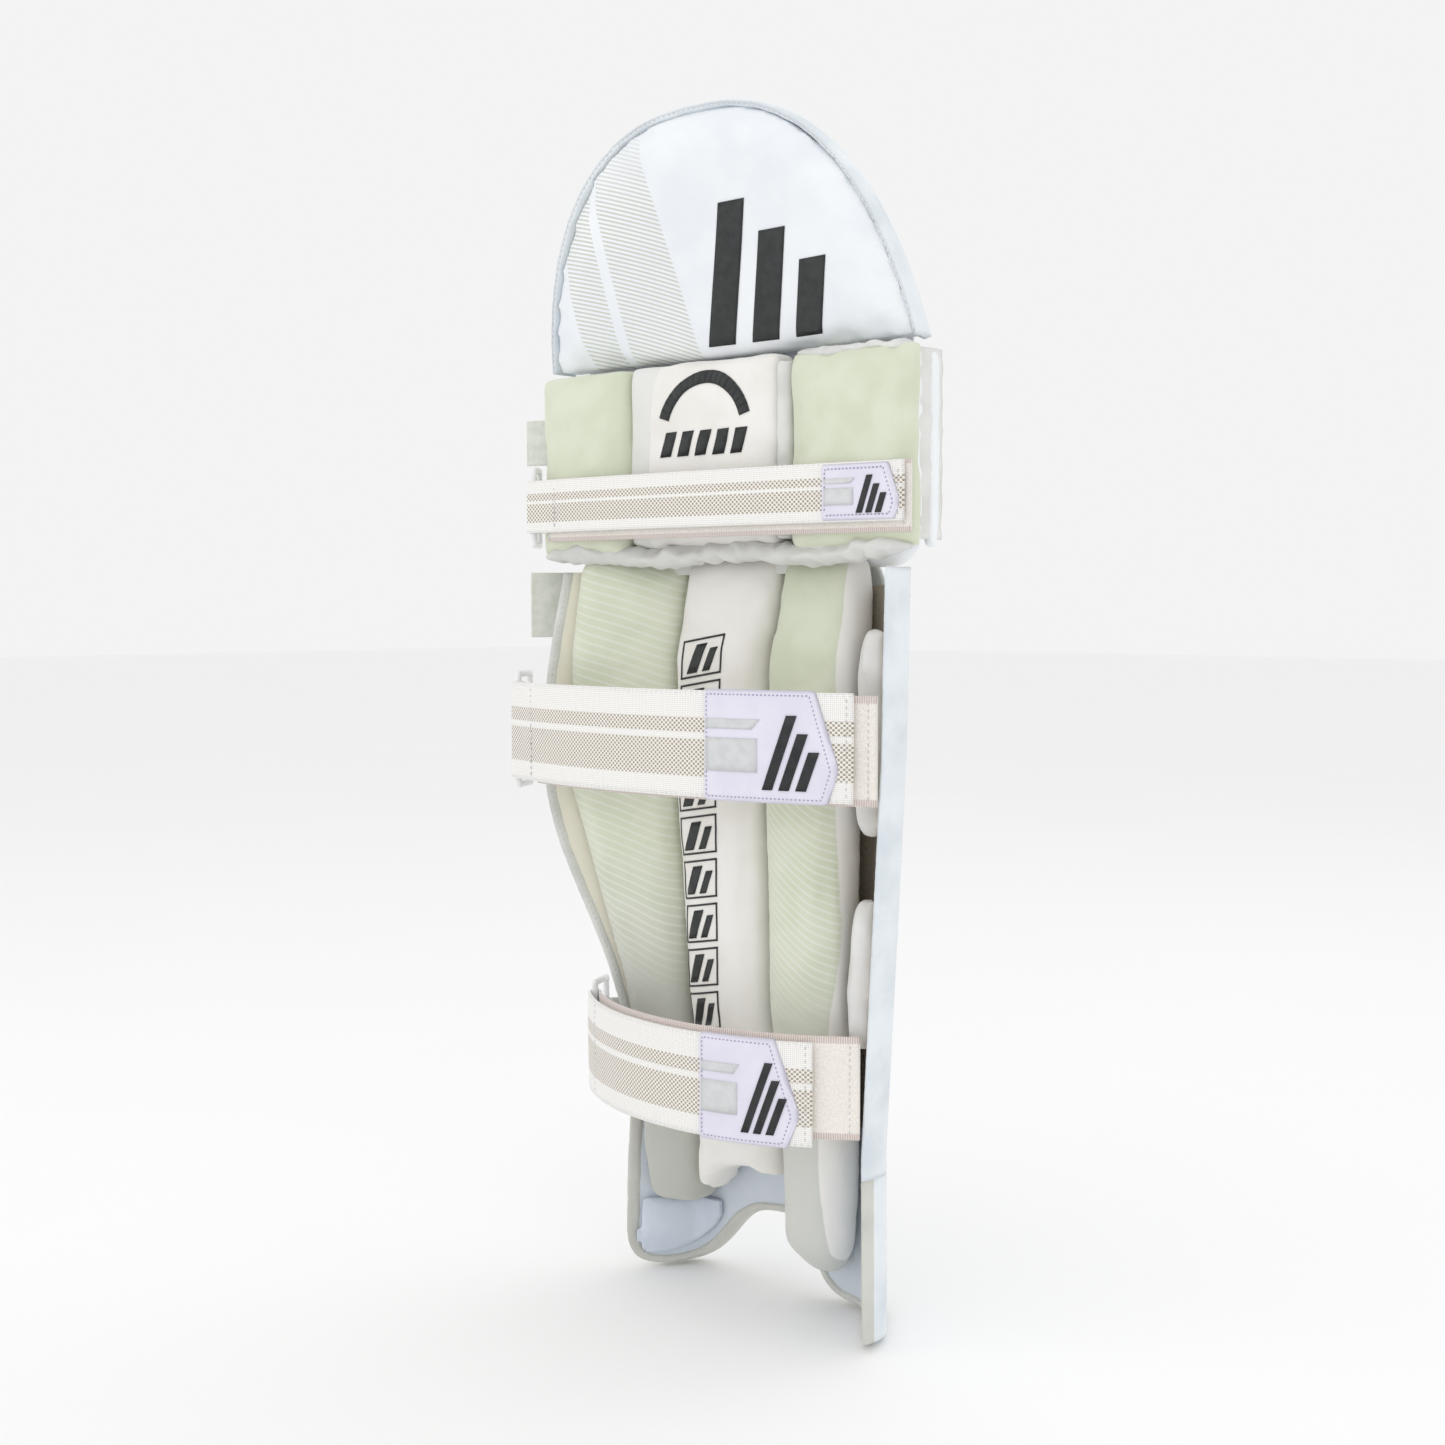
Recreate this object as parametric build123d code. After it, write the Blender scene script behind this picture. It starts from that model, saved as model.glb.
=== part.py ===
from build123d import *
import os
from math import atan2, cos, degrees, pi, radians, sin, sqrt

# Cricket batting leg pad. Millimetres, +Z up, +Y the struck face, -Y the leg side.

# ---- shin shell: a U of padded wall, open toward the leg
FACE_TOP_Z = 427.0       # top of the struck face, under the knee rolls
WING_TOP_Z = 436.0       # top of the wings, under the knee cushion
BASE_Y = 54.0            # inner wall of the struck face at the ankle
BASE_LEAN = 20.0 / 440.0   # the face leans toward the leg on its way up
WING_FLARE = 37.2        # degrees the wings open from straight back
CORNER_R = 20.0          # inner radius where the face turns into a wing
WALL = 11.0              # padded wall, all layers
LINING_T = 1.5
FACE_SKIN_T = 2.0
CORNER_STATIONS = (-6.0, 110.0, 330.0, 445.0)
ANKLE_CORNER_X = 64.5
SHIN_CORNER_X = 67.5
CALF_CORNER_X = 87.5
KNEE_CORNER_X = 94.0
BIND_W = 7.0             # binding seen on each side of a raw edge
BIND_T = 1.2

# ---- outline of the shin part seen from the front
WING_TOP_L, WING_TOP_R = 125.0, 133.0
WING_WIDE_L, WING_WIDE_R = 131.3, 131.5
WING_WIDE_Z = 362.0
WING_CALF_L, WING_CALF_R = 128.6, 127.5
WING_CALF_Z = 292.0
WING_TAPER_L, WING_TAPER_R = 103.0, 120.0
WING_TAPER_Z = 190.0
WING_ANKLE_L, WING_ANKLE_R = 92.5, 110.5
WING_ANKLE_Z = 116.0
EAR_WIDE_L, EAR_WIDE_R = 94.0, 109.0
EAR_WIDE_Z = 42.0
EAR_LOW_L, EAR_LOW_R = 79.0, 96.0
ARCH_TOP_Z = 46.0
ARCH_HALF = 20.0

# ---- knee section
KNEE_AXIS_Y, KNEE_AXIS_Z = 30.0, 436.0
KNEE_TOP_Z = 554.5
KNEE_BOTTOM_Z = 443.0
KNEE_BACK_Y = -12.0
KNEE_L, KNEE_R = -141.0, 146.0
ROLL_R = 18.5
ROLL_PITCH = 38.0
ROLL_LOW_Z = 453.0
ROLL_SPAN = 93.0         # half distance between the ball ends
KNEE_ARC_Y = -416.7      # centre of the plan curve of the knee section
ROLL_ARC_R = 462.4
BACKING_R0, BACKING_R1 = 438.0, 441.7
SIDE_COVER_X, SIDE_COVER_Y = 129.0, 25.5   # middle of the cover over the roll ends
SIDE_COVER_L, SIDE_COVER_T = 44.0, 5.5
SIDE_COVER_TURN = 126.9

# ---- top flap
FLAP_AXIS_Y, FLAP_AXIS_Z = 19.0, 555.0
FLAP_BOTTOM_Z = 556.0
FLAP_HALF = 144.7
FLAP_MID_Z = 492.0
FLAP_RISE = 202.0
FLAP_POWER = 2.37
FLAP_BACK_Y = 11.4
FLAP_LEAN = 15.6
FLAP_PLAN_R = 698.0
FLAP_T = 15.0
FLAP_SKIN = 2.0

# ---- bolsters
BOLSTER_STATIONS = (40.0, 80.0, 121.0, 184.0, 307.0, 388.0, 430.0)
BOLSTER_FACE_Y = (24.0, 15.5, 9.0, 1.0, -1.0, 4.0, 16.5)
BOLSTER_T = 32.0
BOLSTER_GAP = 0.3
NOTCH_R = 43.0            # arch cut out of the centre bolster over the instep
NOTCH_X, NOTCH_Z = 4.0, 38.0

# ---- straps
BAND_T = 1.6
ELASTIC_T = 1.8
HOOK_T = 1.9
BADGE_T = 2.4
STRAP_STEP = 4.0         # centre of the band to centre of the elastic
BAR_R = 2.0
EYE_R0, EYE_R1 = 2.45, 3.9
CANE_R = 2.6
WEB_STAND = 3.2          # anchor webbing clear of the binding over its height


def ramp(z, stations, values):
    """straight-line value at height z"""
    if z <= stations[0]:
        return values[0]
    for i in range(len(stations) - 1):
        if z <= stations[i + 1]:
            part = (z - stations[i]) / (stations[i + 1] - stations[i])
            return values[i] + part * (values[i + 1] - values[i])
    return values[-1]


def base_y(z):
    return BASE_Y - BASE_LEAN * z


def corner_x(z):
    widths = (ANKLE_CORNER_X, SHIN_CORNER_X, CALF_CORNER_X, KNEE_CORNER_X)
    return ramp(z, CORNER_STATIONS, widths)


def wall_point(side, s, t, z):
    """s along the wing from the corner, t outward from its inner face"""
    f = radians(WING_FLARE)
    x = corner_x(z) + s * sin(f) + t * cos(f)
    return (side * x, base_y(z) - s * cos(f) + t * sin(f))


def wall_reach(side, x, z):
    """s where the inner face of a wing comes to the given half width"""
    return (abs(x) - corner_x(z)) / sin(radians(WING_FLARE))


def u_path(z, t, reach):
    f = radians(WING_FLARE)
    x = corner_x(z) + t * (1 - sin(f)) / cos(f)
    y = base_y(z) + t
    ex = x + reach * sin(f)
    ey = y - reach * cos(f)
    return FilletPolyline((-ex, ey), (-x, y), (x, y), (ex, ey), radius=CORNER_R + t)


def u_section(z, t0, t1):
    inner = u_path(z, t0, 95)
    outer = u_path(z, t1, 95)
    ends = Line(inner @ 0, outer @ 0) + Line(inner @ 1, outer @ 1)
    return Pos(0, 0, z) * make_face(inner + outer + ends)


def u_band(t0, t1):
    return loft([u_section(z, t0, t1) for z in CORNER_STATIONS], ruled=True)


def leg_space():
    """everything inside the U, just clear of its inner face"""
    sections = []
    for z in CORNER_STATIONS:
        path = u_path(z, -BOLSTER_GAP, 95)
        sections.append(Pos(0, 0, z) * make_face(path + Line(path @ 1, path @ 0)))
    return loft(sections, ruled=True)


def wing_edge(side, inset):
    names_l = (WING_TOP_L, WING_WIDE_L, WING_CALF_L, WING_TAPER_L, WING_ANKLE_L, EAR_WIDE_L)
    names_r = (WING_TOP_R, WING_WIDE_R, WING_CALF_R, WING_TAPER_R, WING_ANKLE_R, EAR_WIDE_R)
    heights = (WING_TOP_Z, WING_WIDE_Z, WING_CALF_Z, WING_TAPER_Z, WING_ANKLE_Z, EAR_WIDE_Z)
    halves = names_l if side < 0 else names_r
    return [(side * (x - inset), z) for x, z in zip(halves, heights)]


def shin_outline(inset, top_drop=0.0):
    """front outline of the shin part: wings, two ears, arch over the instep"""
    left = wing_edge(-1, inset)
    right = wing_edge(1, inset)
    left[0] = (left[0][0], WING_TOP_Z - top_drop)
    right[0] = (right[0][0], WING_TOP_Z - top_drop)
    step_l = (-108.0, FACE_TOP_Z - top_drop)
    step_r = (112.0, FACE_TOP_Z - top_drop)
    low_l = (-EAR_LOW_L, 1.0 + inset)
    low_r = (EAR_LOW_R, inset)
    arch_z = ARCH_TOP_Z + inset
    arch_l = (-ARCH_HALF - inset, arch_z - 4)
    arch_r = (ARCH_HALF + 4 + inset, arch_z - 9)
    slope_l = ((-59 - inset / 2, 8 + inset), (-42 - inset / 2, 24 + inset))
    slope_r = ((60, 1.5 + inset), (37 + inset / 2, 8 + inset), (29 + inset, 19 + inset / 2))
    side_l = Spline(*left, tangents=[(-0.1, -1), (0.0, -1)])
    side_r = Spline(*right, tangents=[(-0.1, -1), (0.0, -1)])
    ear_l = Spline(left[-1], low_l, tangents=[(0, -1), (1, 0)])
    ear_r = Spline(right[-1], low_r, tangents=[(0, -1), (-1, 0)])
    rise_l = Spline(low_l, *slope_l, arch_l, tangents=[(1, 0), (1, 0.45)])
    rise_r = Spline(low_r, *slope_r, arch_r, tangents=[(-1, 0), (-0.3, 1)])
    arch = Spline(arch_l, (0, arch_z), arch_r, tangents=[(1, 0.45), (0.3, -1)])
    top = Polyline(left[0], (-117, left[0][1]), step_l, step_r, (121, right[0][1]), right[0])
    edges = side_l + side_r + ear_l + ear_r + rise_l + rise_r + arch + top
    return make_face(edges)


def through(outline):
    """front outline pushed right through the part along Y"""
    return extrude(Plane.XZ * outline, amount=200, both=True)


def flap_outline(inset):
    a = FLAP_HALF - inset
    b = FLAP_RISE - inset
    start = ((FLAP_BOTTOM_Z - FLAP_MID_Z) / b) ** (FLAP_POWER / 2)
    first = atan2(start, sqrt(1 - start * start))
    count = 16
    points = []
    for i in range(count + 1):
        turn = first + (pi - 2 * first) * i / count
        x = a * abs(cos(turn)) ** (2 / FLAP_POWER)
        if turn > pi / 2:
            x = -x
        points.append((x, FLAP_MID_Z + b * sin(turn) ** (2 / FLAP_POWER)))
    return make_face(Spline(*points) + Line(points[-1], points[0]))


def flap_band(t0, t1):
    outer = Cylinder(FLAP_PLAN_R + t1, 400)
    inner = Cylinder(FLAP_PLAN_R + t0, 420)
    ring = Pos(0, FLAP_BACK_Y - FLAP_PLAN_R, 0) * (outer - inner)
    sheet = ring & (Pos(0, 0, 0) * Box(330, 160, 400))
    return Pos(0, FLAP_BACK_Y, FLAP_BOTTOM_Z) * Rot(FLAP_LEAN, 0, 0) * Pos(0, -FLAP_BACK_Y, 100) * sheet


def binding(shape_full, band_outer, shape_inner, band_core):
    """U of binding folded over a raw edge"""
    return (band_outer & shape_full) - shape_inner - band_core


def pillow(sections, radius):
    faces = []
    for z, x0, x1, y0, y1 in sections:
        r = min(radius, 0.45 * (y1 - y0), 0.45 * (x1 - x0))
        face = RectangleRounded(x1 - x0, y1 - y0, r)
        faces.append(Pos((x0 + x1) / 2, (y0 + y1) / 2, z) * face)
    return loft(faces, ruled=True)


def bolster(lefts, rights, bottom_z):
    """long cushion hanging inside the U; sewn to it at the top and bottom"""
    sections = []
    for i, z in enumerate(BOLSTER_STATIONS):
        z = max(z, bottom_z + 14 * (i + 1)) if z < bottom_z + 14 else z
        y0 = ramp(z, BOLSTER_STATIONS, BOLSTER_FACE_Y)
        y1 = min(y0 + BOLSTER_T, base_y(z) - BOLSTER_GAP)
        sections.append((z, lefts[i], rights[i], y0, y1))
    z, x0, x1, y0, y1 = sections[0]
    low_y = base_y(bottom_z) - BOLSTER_GAP
    sections.insert(0, (bottom_z, x0 + 12, x1 - 12, low_y - 14, low_y))
    return pillow(sections, 12)


def wall_cushion(side, z0, z1, s0, s1, depth):
    faces = []
    middle = (z0 + z1) / 2
    for z, shrink in ((z0, 6), (z0 + 9, 0), (middle, 0), (z1 - 9, 0), (z1, 6)):
        a = wall_point(side, s0 + shrink, -BOLSTER_GAP, z)
        b = wall_point(side, s1 - shrink, -BOLSTER_GAP, z)
        c = wall_point(side, s1 - shrink - 2, shrink / 2 - depth, z)
        d = wall_point(side, s0 + shrink + 2, shrink / 2 - depth, z)
        faces.append(Pos(0, 0, z) * make_face(Polyline(a, b, c, d, close=True)))
    return loft(faces, ruled=True)


def circle_through(p, q, r):
    """centre and radius of the plan circle through three points"""
    d = 2 * (p[0] * (q[1] - r[1]) + q[0] * (r[1] - p[1]) + r[0] * (p[1] - q[1]))
    pp = p[0] ** 2 + p[1] ** 2
    qq = q[0] ** 2 + q[1] ** 2
    rr = r[0] ** 2 + r[1] ** 2
    x = (pp * (q[1] - r[1]) + qq * (r[1] - p[1]) + rr * (p[1] - q[1])) / d
    y = (pp * (r[0] - q[0]) + qq * (p[0] - r[0]) + rr * (q[0] - p[0])) / d
    return x, y, sqrt((p[0] - x) ** 2 + (p[1] - y) ** 2)


def on_arc(circle, x, out):
    """point of the bulging side of a plan circle, 'out' away from the leg space"""
    cx, cy, r = circle
    r = r + out
    return (x, cy - sqrt(r * r - (x - cx) ** 2))


def arc_strip(circle, x0, x1, t0, t1, z0, z1):
    """webbing lying along the strap circle between two distances from it"""
    xm = (x0 + x1) / 2
    near = ThreePointArc(on_arc(circle, x0, t0), on_arc(circle, xm, t0), on_arc(circle, x1, t0))
    far = ThreePointArc(on_arc(circle, x0, t1), on_arc(circle, xm, t1), on_arc(circle, x1, t1))
    ends = Line(near @ 0, far @ 0) + Line(near @ 1, far @ 1)
    return extrude(Pos(0, 0, z0) * make_face(near + far + ends), amount=z1 - z0)


def ring_between(a, b, z0, z1):
    """closed rectangle of round bar: two upright bars and two short ends"""
    bars = []
    for p in (a, b):
        bars.append(Pos(p[0], p[1], (z0 + z1) / 2) * Cylinder(BAR_R, z1 - z0))
        bars.append(Pos(p[0], p[1], z0) * Sphere(BAR_R))
        bars.append(Pos(p[0], p[1], z1) * Sphere(BAR_R))
    length = sqrt((b[0] - a[0]) ** 2 + (b[1] - a[1]) ** 2)
    heading = degrees(atan2(b[1] - a[1], b[0] - a[0]))
    for z in (z0, z1):
        short = Rot(0, 90, 0) * Cylinder(BAR_R, length)
        middle = Pos((a[0] + b[0]) / 2, (a[1] + b[1]) / 2, z)
        bars.append(middle * Rot(0, 0, heading) * short)
    ring = bars[0]
    for bar in bars[1:]:
        ring = ring + bar
    return ring


def eye(p, z0, z1):
    """loop of webbing round an upright bar"""
    wide = Cylinder(EYE_R1, z1 - z0) - Cylinder(EYE_R0, z1 - z0)
    return Pos(p[0], p[1], (z0 + z1) / 2) * wide


def bar_spots(circle, x_rear, front):
    """rear bar on the strap's curve, front bar in the anchor loop"""
    eye_mid = (EYE_R0 + EYE_R1) / 2
    return front, on_arc(circle, x_rear, STRAP_STEP - eye_mid)


# ---- strap layouts: where each one starts, bulges and ends in plan
KNEE_STRAP = circle_through((145.0, -13.4), (0.0, -19.5), (-141.7, -15.5))
CALF_STRAP = circle_through((129.5, -21.5), (15.0, -52.0), (-137.5, -33.0))
ANKLE_STRAP = circle_through((111.0, -11.5), (25.0, -46.0), (-103.0, -2.0))
CALF_MID_Z, CALF_W = 338.0, 59.0
ANKLE_MID_Z, ANKLE_W = 148.0, 58.0
KNEE_MID_Z, KNEE_W = 474.0, 32.0
EYE_PAST_EDGE = 8.0
KNEE_EYE = (-150.5, -3.8)


def wing_eye(z, edge_x):
    s = wall_reach(-1, edge_x, z) + EYE_PAST_EDGE
    eye_mid = (EYE_R0 + EYE_R1) / 2
    return wall_point(-1, s, WALL + WEB_STAND + BAND_T / 2 - eye_mid, z)


def wing_anchor(z, edge_x, width, front):
    """webbing sewn to the outside of the wing, ending in a loop"""
    s1 = wall_reach(-1, edge_x, z) + EYE_PAST_EDGE
    t0 = WALL + WEB_STAND
    spots = ((s1 - 52, t0), (s1, t0), (s1, t0 + BAND_T), (s1 - 52, t0 + BAND_T))
    corners = [wall_point(-1, s, t, z) for s, t in spots]
    web = extrude(make_face(Polyline(*corners, close=True)), amount=width)
    return Pos(0, 0, z - width / 2) * web + eye(front, z - width / 2, z + width / 2)


def closing_strap(circle, x_eye, x_end, z, width, front_rear, half_eye):
    """elastic that folds round the rear bar and runs to the far side"""
    t0 = STRAP_STEP - ELASTIC_T / 2
    t1 = STRAP_STEP + ELASTIC_T / 2
    run = arc_strip(circle, x_eye, x_end, t0, t1, z - width / 2, z + width / 2)
    return run + eye(front_rear, z - half_eye, z + half_eye)


def badge(circle, x0, x1, z, width, clip):
    t0 = STRAP_STEP + ELASTIC_T / 2
    plate = arc_strip(circle, x0, x1, t0, t0 + BADGE_T, z - width / 2, z + width / 2)
    tip = Plane.XZ * make_face(Polyline(
        (x1 + 1, z + width / 2 + 1), (x1 + 1, z + width / 2 - clip),
        (x1 - clip, z + width / 2 + 1), close=True))
    cut = extrude(tip, amount=200, both=True)
    low = mirror(Pos(0, 0, -z) * cut, about=Plane.XY)
    return plate - cut - (Pos(0, 0, z) * low)


nodes = {}

# ---- shin shell in layers, cut to the front outline
outline = through(shin_outline(0))
inner_outline = through(shin_outline(2, 2))
bind_hole = through(shin_outline(BIND_W, BIND_W))
ear_zone = Pos(0, 0, 45) * Box(400, 400, 110)
cane_mid = LINING_T + 3.4
core = u_band(LINING_T, WALL - FACE_SKIN_T) & inner_outline
canes = []
channels = []
CANE_TILT = degrees(atan2(BASE_LEAN, 1))
for i in range(7):
    x = (i - 3) * 17.0
    low = 64.0
    rod = Pos(x, base_y(low) + cane_mid, low) * Rot(CANE_TILT, 0, 0)
    canes.append(rod * Pos(0, 0, 174) * Cylinder(CANE_R, 348))
    channels.append(rod * Pos(0, 0, 174) * Cylinder(CANE_R + 0.3, 349))
for channel in channels:
    core = core - channel
nodes["shin_foam_core"] = core
nodes["shin_canes"] = Compound(children=canes)
nodes["shin_lining"] = u_band(0, LINING_T) & inner_outline
nodes["shin_face"] = u_band(WALL - FACE_SKIN_T, WALL) & inner_outline
rim = binding(outline, u_band(-BIND_T, WALL + BIND_T), bind_hole, u_band(0, WALL) & inner_outline)
nodes["ear_binding"] = rim & ear_zone
nodes["wing_binding"] = rim - ear_zone

# ---- stuffed ribs down the struck face, one over each cane
RIB_R = 8.3
RIB_LOW, RIB_LEN = 66.0, 340.0
ribs = []
for i in range(7):
    x = (i - 3) * 17.0
    start = Pos(x, base_y(RIB_LOW) + WALL, RIB_LOW) * Rot(CANE_TILT, 0, 0)
    rod = start * Pos(0, 0, RIB_LEN / 2) * Cylinder(RIB_R, RIB_LEN)
    front = start * Pos(0, 10.05, RIB_LEN / 2) * Box(40, 20, RIB_LEN + 4)
    ribs.append(rod & front)
nodes["face_ribs"] = Compound(children=ribs)

# ---- bolsters on the leg side
room = leg_space()
LEFT_IN = (-48.0, -40.5, -36.0, -37.0, -46.0, -49.0, -47.0)
LEFT_OUT = (-83.0, -87.0, -88.5, -97.5, -122.0, -122.0, -118.0)
left_stations = (46.0, 80.0, 121.0, 184.0, 307.0, 388.0, 430.0)
left_sections = []
for i, z in enumerate(left_stations):
    y0 = ramp(z, BOLSTER_STATIONS, BOLSTER_FACE_Y)
    y1 = min(y0 + BOLSTER_T, base_y(z) - BOLSTER_GAP)
    x1 = LEFT_OUT[i]
    s = wall_reach(-1, x1, z)
    wx, wy = wall_point(-1, s, -BOLSTER_GAP, z)
    nose = wall_point(-1, s, -16, z)
    ridge = (LEFT_IN[i] - 14, y0)
    corners = ((LEFT_IN[i], y0 + 6), (LEFT_IN[i], y1), (wx * 0.72, y1), (wx, wy), nose, ridge)
    left_sections.append(Pos(0, 0, z) * make_face(Polyline(*corners, close=True)))
nodes["bolster_left"] = (loft(left_sections, ruled=True) & room) - rim
centre_l = (-43.0, -39.0, -34.0, -35.0, -44.0, -47.0, -45.0)
centre_r = (22.0, 25.5, 28.5, 26.5, 24.5, 24.0, 30.0)
middle = bolster(centre_l, centre_r, 50.0) & room
notch = Pos(NOTCH_X, 30, NOTCH_Z) * Rot(90, 0, 0) * Cylinder(NOTCH_R, 90)
nodes["bolster_centre"] = middle - notch - rim
right_l = (24.0, 27.3, 30.2, 28.2, 26.2, 25.7, 31.7)
right_r = (66.0, 72.0, 77.0, 81.5, 85.4, 88.0, 88.0)
nodes["bolster_right"] = (bolster(right_l, right_r, 30.0) & room) - rim

# ---- pad lining the left ear, under the left bolster
ear_room = through(shin_outline(BIND_W + 2, BIND_W)) & (Pos(-70, 30, 24.5) * Box(50, 90, 41))
nodes["ear_pad_left"] = (u_band(-5.5, -BOLSTER_GAP) & ear_room) - rim

# ---- two cushions on the inner side of the right wing, and the cloth above the bolsters
nodes["side_cushion_upper"] = wall_cushion(1, 287, 402, 20, 48, 13)
nodes["side_cushion_lower"] = wall_cushion(1, 168, 252, 31, 56, 12)
nodes["knee_gusset"] = Pos(1, 18.4, 435.7) * Box(164, 1.4, 10.8)

# ---- knee section
plan = Pos(0, KNEE_ARC_Y, 500)
backing = plan * (Cylinder(BACKING_R1, 107) - Cylinder(BACKING_R0, 120))
backing = backing & (Pos(0, 0, 496.5) * Box(280, 100, 105))
nodes["knee_backing"] = backing
half = degrees(atan2(ROLL_SPAN, sqrt(ROLL_ARC_R ** 2 - ROLL_SPAN ** 2)))
for name, index in (("lower", 0), ("middle", 1), ("upper", 2)):
    z = ROLL_LOW_Z + ROLL_PITCH * index
    circle = Plane.XZ * (Pos(ROLL_ARC_R, z) * Circle(ROLL_R))
    roll = Rot(0, 0, 90 - half) * revolve(circle, Axis.Z, revolution_arc=2 * half)
    tube = Pos(0, KNEE_ARC_Y, 0) * roll
    end_y = KNEE_ARC_Y + sqrt(ROLL_ARC_R ** 2 - ROLL_SPAN ** 2)
    for x in (-ROLL_SPAN, ROLL_SPAN):
        tube = tube + Pos(x, end_y, z) * Sphere(ROLL_R)
    nodes["knee_roll_" + name] = tube


def knee_cushion(x0, x1, y0, z0, z1):
    block = Pos((x0 + x1) / 2, (y0 + 40) / 2, (z0 + z1) / 2) * Box(x1 - x0, 40 - y0, z1 - z0)
    block = fillet(block.faces().sort_by(Axis.Y)[0].edges(), 5)
    block = block & (Pos(0, KNEE_ARC_Y, 500) * Cylinder(BACKING_R0 - 0.2, 200))
    step = Pos(0, 29.5, KNEE_TOP_Z + 4.5) * Box(400, 40, 20)
    return block - step


PANEL_L, PANEL_R, PIPING_X = -69.0, 46.5, 52.0
nodes["knee_cushion_left"] = knee_cushion(KNEE_L, PANEL_L - 0.3, KNEE_BACK_Y, KNEE_BOTTOM_Z, 553.5)
nodes["knee_cushion_centre"] = knee_cushion(PANEL_L, PANEL_R, KNEE_BACK_Y + 3, 447, KNEE_TOP_Z)
nodes["knee_cushion_right"] = knee_cushion(58, KNEE_R, KNEE_BACK_Y, KNEE_BOTTOM_Z + 1, 552.5)
piping = Pos(PIPING_X, -4.5, 500) * Cylinder(5.2, 98)
nodes["knee_piping"] = piping
for name, side in (("left", -1), ("right", 1)):
    slab = RectangleRounded(SIDE_COVER_L, SIDE_COVER_T, 2.5)
    cover = extrude(slab, amount=102)
    spot = Pos(side * SIDE_COVER_X, SIDE_COVER_Y, 446)
    nodes["knee_side_" + name] = spot * Rot(0, 0, side * SIDE_COVER_TURN) * cover

# ---- top flap in layers
flap_shape = through(flap_outline(0))
flap_inner = through(flap_outline(2))
flap_hole = through(flap_outline(BIND_W))
nodes["flap_back_cover"] = flap_band(0, FLAP_SKIN) & flap_inner
nodes["flap_foam_core"] = flap_band(FLAP_SKIN, FLAP_T - FLAP_SKIN) & flap_inner
nodes["flap_front_cover"] = flap_band(FLAP_T - FLAP_SKIN, FLAP_T) & flap_inner
flap_outer = flap_band(-BIND_T, FLAP_T + BIND_T)
nodes["flap_binding"] = binding(flap_shape, flap_outer, flap_hole, flap_band(0, FLAP_T) & flap_inner)

# ---- calf and ankle straps on the shin, knee strap on the knee section
calf_front, calf_rear = bar_spots(CALF_STRAP, -137.5, wing_eye(CALF_MID_Z, -131.0))
ankle_front, ankle_rear = bar_spots(ANKLE_STRAP, -103.0, wing_eye(ANKLE_MID_Z, -96.6))
knee_front, knee_rear = bar_spots(KNEE_STRAP, -141.7, KNEE_EYE)
nodes["calf_anchor"] = wing_anchor(CALF_MID_Z, -131.0, 40, calf_front)
nodes["ankle_anchor"] = wing_anchor(ANKLE_MID_Z, -96.6, 40, ankle_front)
knee_web_back = Pos(0, KNEE_ARC_Y, KNEE_MID_Z) * (Cylinder(443.4, 24) - Cylinder(442.0, 30))
knee_web = knee_web_back & (Pos(-135, 0, KNEE_MID_Z) * Box(30, 40, 40))
nodes["knee_anchor"] = knee_web + eye(knee_front, KNEE_MID_Z - 12, KNEE_MID_Z + 12)

straps = (
    ("knee", KNEE_STRAP, knee_front, knee_rear, KNEE_MID_Z, KNEE_W, -128.0, 145.0, 143.0, 20.0),
    ("calf", CALF_STRAP, calf_front, calf_rear, CALF_MID_Z, CALF_W, -112.0, 129.5, 120.0, 31.0),
    ("ankle", ANKLE_STRAP, ankle_front, ankle_rear, ANKLE_MID_Z, ANKLE_W, -82.0, 111.0, 92.0, 30.5),
)
badge_spans = {"knee": (92.0, 141.0), "calf": (36.0, 113.0), "ankle": (29.0, 86.0)}
badge_clips = {"knee": 5.0, "calf": 9.0, "ankle": 9.0}
for name, circle, front, rear, z, width, x_band, x_sewn, x_tip, half_ring in straps:
    drop = 2.5 if name == "knee" else 0.0
    half_band = (width + 6) / 2 if name == "knee" else (width - 1) / 2
    z_band = z - drop
    nodes[name + "_base_band"] = arc_strip(
        circle, x_band, x_sewn, -BAND_T / 2, BAND_T / 2, z_band - half_band, z_band + half_band)
    nodes[name + "_ring"] = ring_between(front, rear, z - half_ring - 3, z + half_ring + 3)
    nodes[name + "_strap"] = closing_strap(circle, rear[0], x_tip, z, width, rear, width / 2)
    x0, x1 = badge_spans[name]
    plate_w = width - 2 if name == "knee" else width + 2
    nodes[name + "_badge"] = badge(circle, x0, x1, z, plate_w, badge_clips[name])
    hook_t = STRAP_STEP - ELASTIC_T / 2
    nodes[name + "_hook"] = arc_strip(
        circle, x0 + 4, x1 - 4, hook_t - HOOK_T, hook_t, z - width / 2 + 3, z + width / 2 - 3)

# ---- grab tabs standing out of the left side
knee_tab = Pos(-139, 3.0, 515) * Rot(0, 0, 8) * Box(50, 4, 28)
backing_cut = Pos(0, KNEE_ARC_Y, 500) * Cylinder(BACKING_R1 + 0.2, 200)
nodes["knee_tab"] = knee_tab - backing_cut
tab_z = 414.0
tab_s = wall_reach(-1, -127.5, tab_z)
spots = ((tab_s - 26, 12.9), (tab_s + 14, 12.9), (tab_s + 14, 16.1), (tab_s - 26, 16.1))
corners = [wall_point(-1, s, t, tab_z) for s, t in spots]
tab = extrude(make_face(Polyline(*corners, close=True)), amount=40)
nodes["shin_tab"] = Pos(0, 0, tab_z - 20) * tab

os.makedirs("parts", exist_ok=True)
for name, shape in nodes.items():
    export_step(shape, "parts/" + name + ".step")
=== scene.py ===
import bpy
import bmesh
import math
import numpy as np
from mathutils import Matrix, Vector, noise
from mathutils.bvhtree import BVHTree


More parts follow.
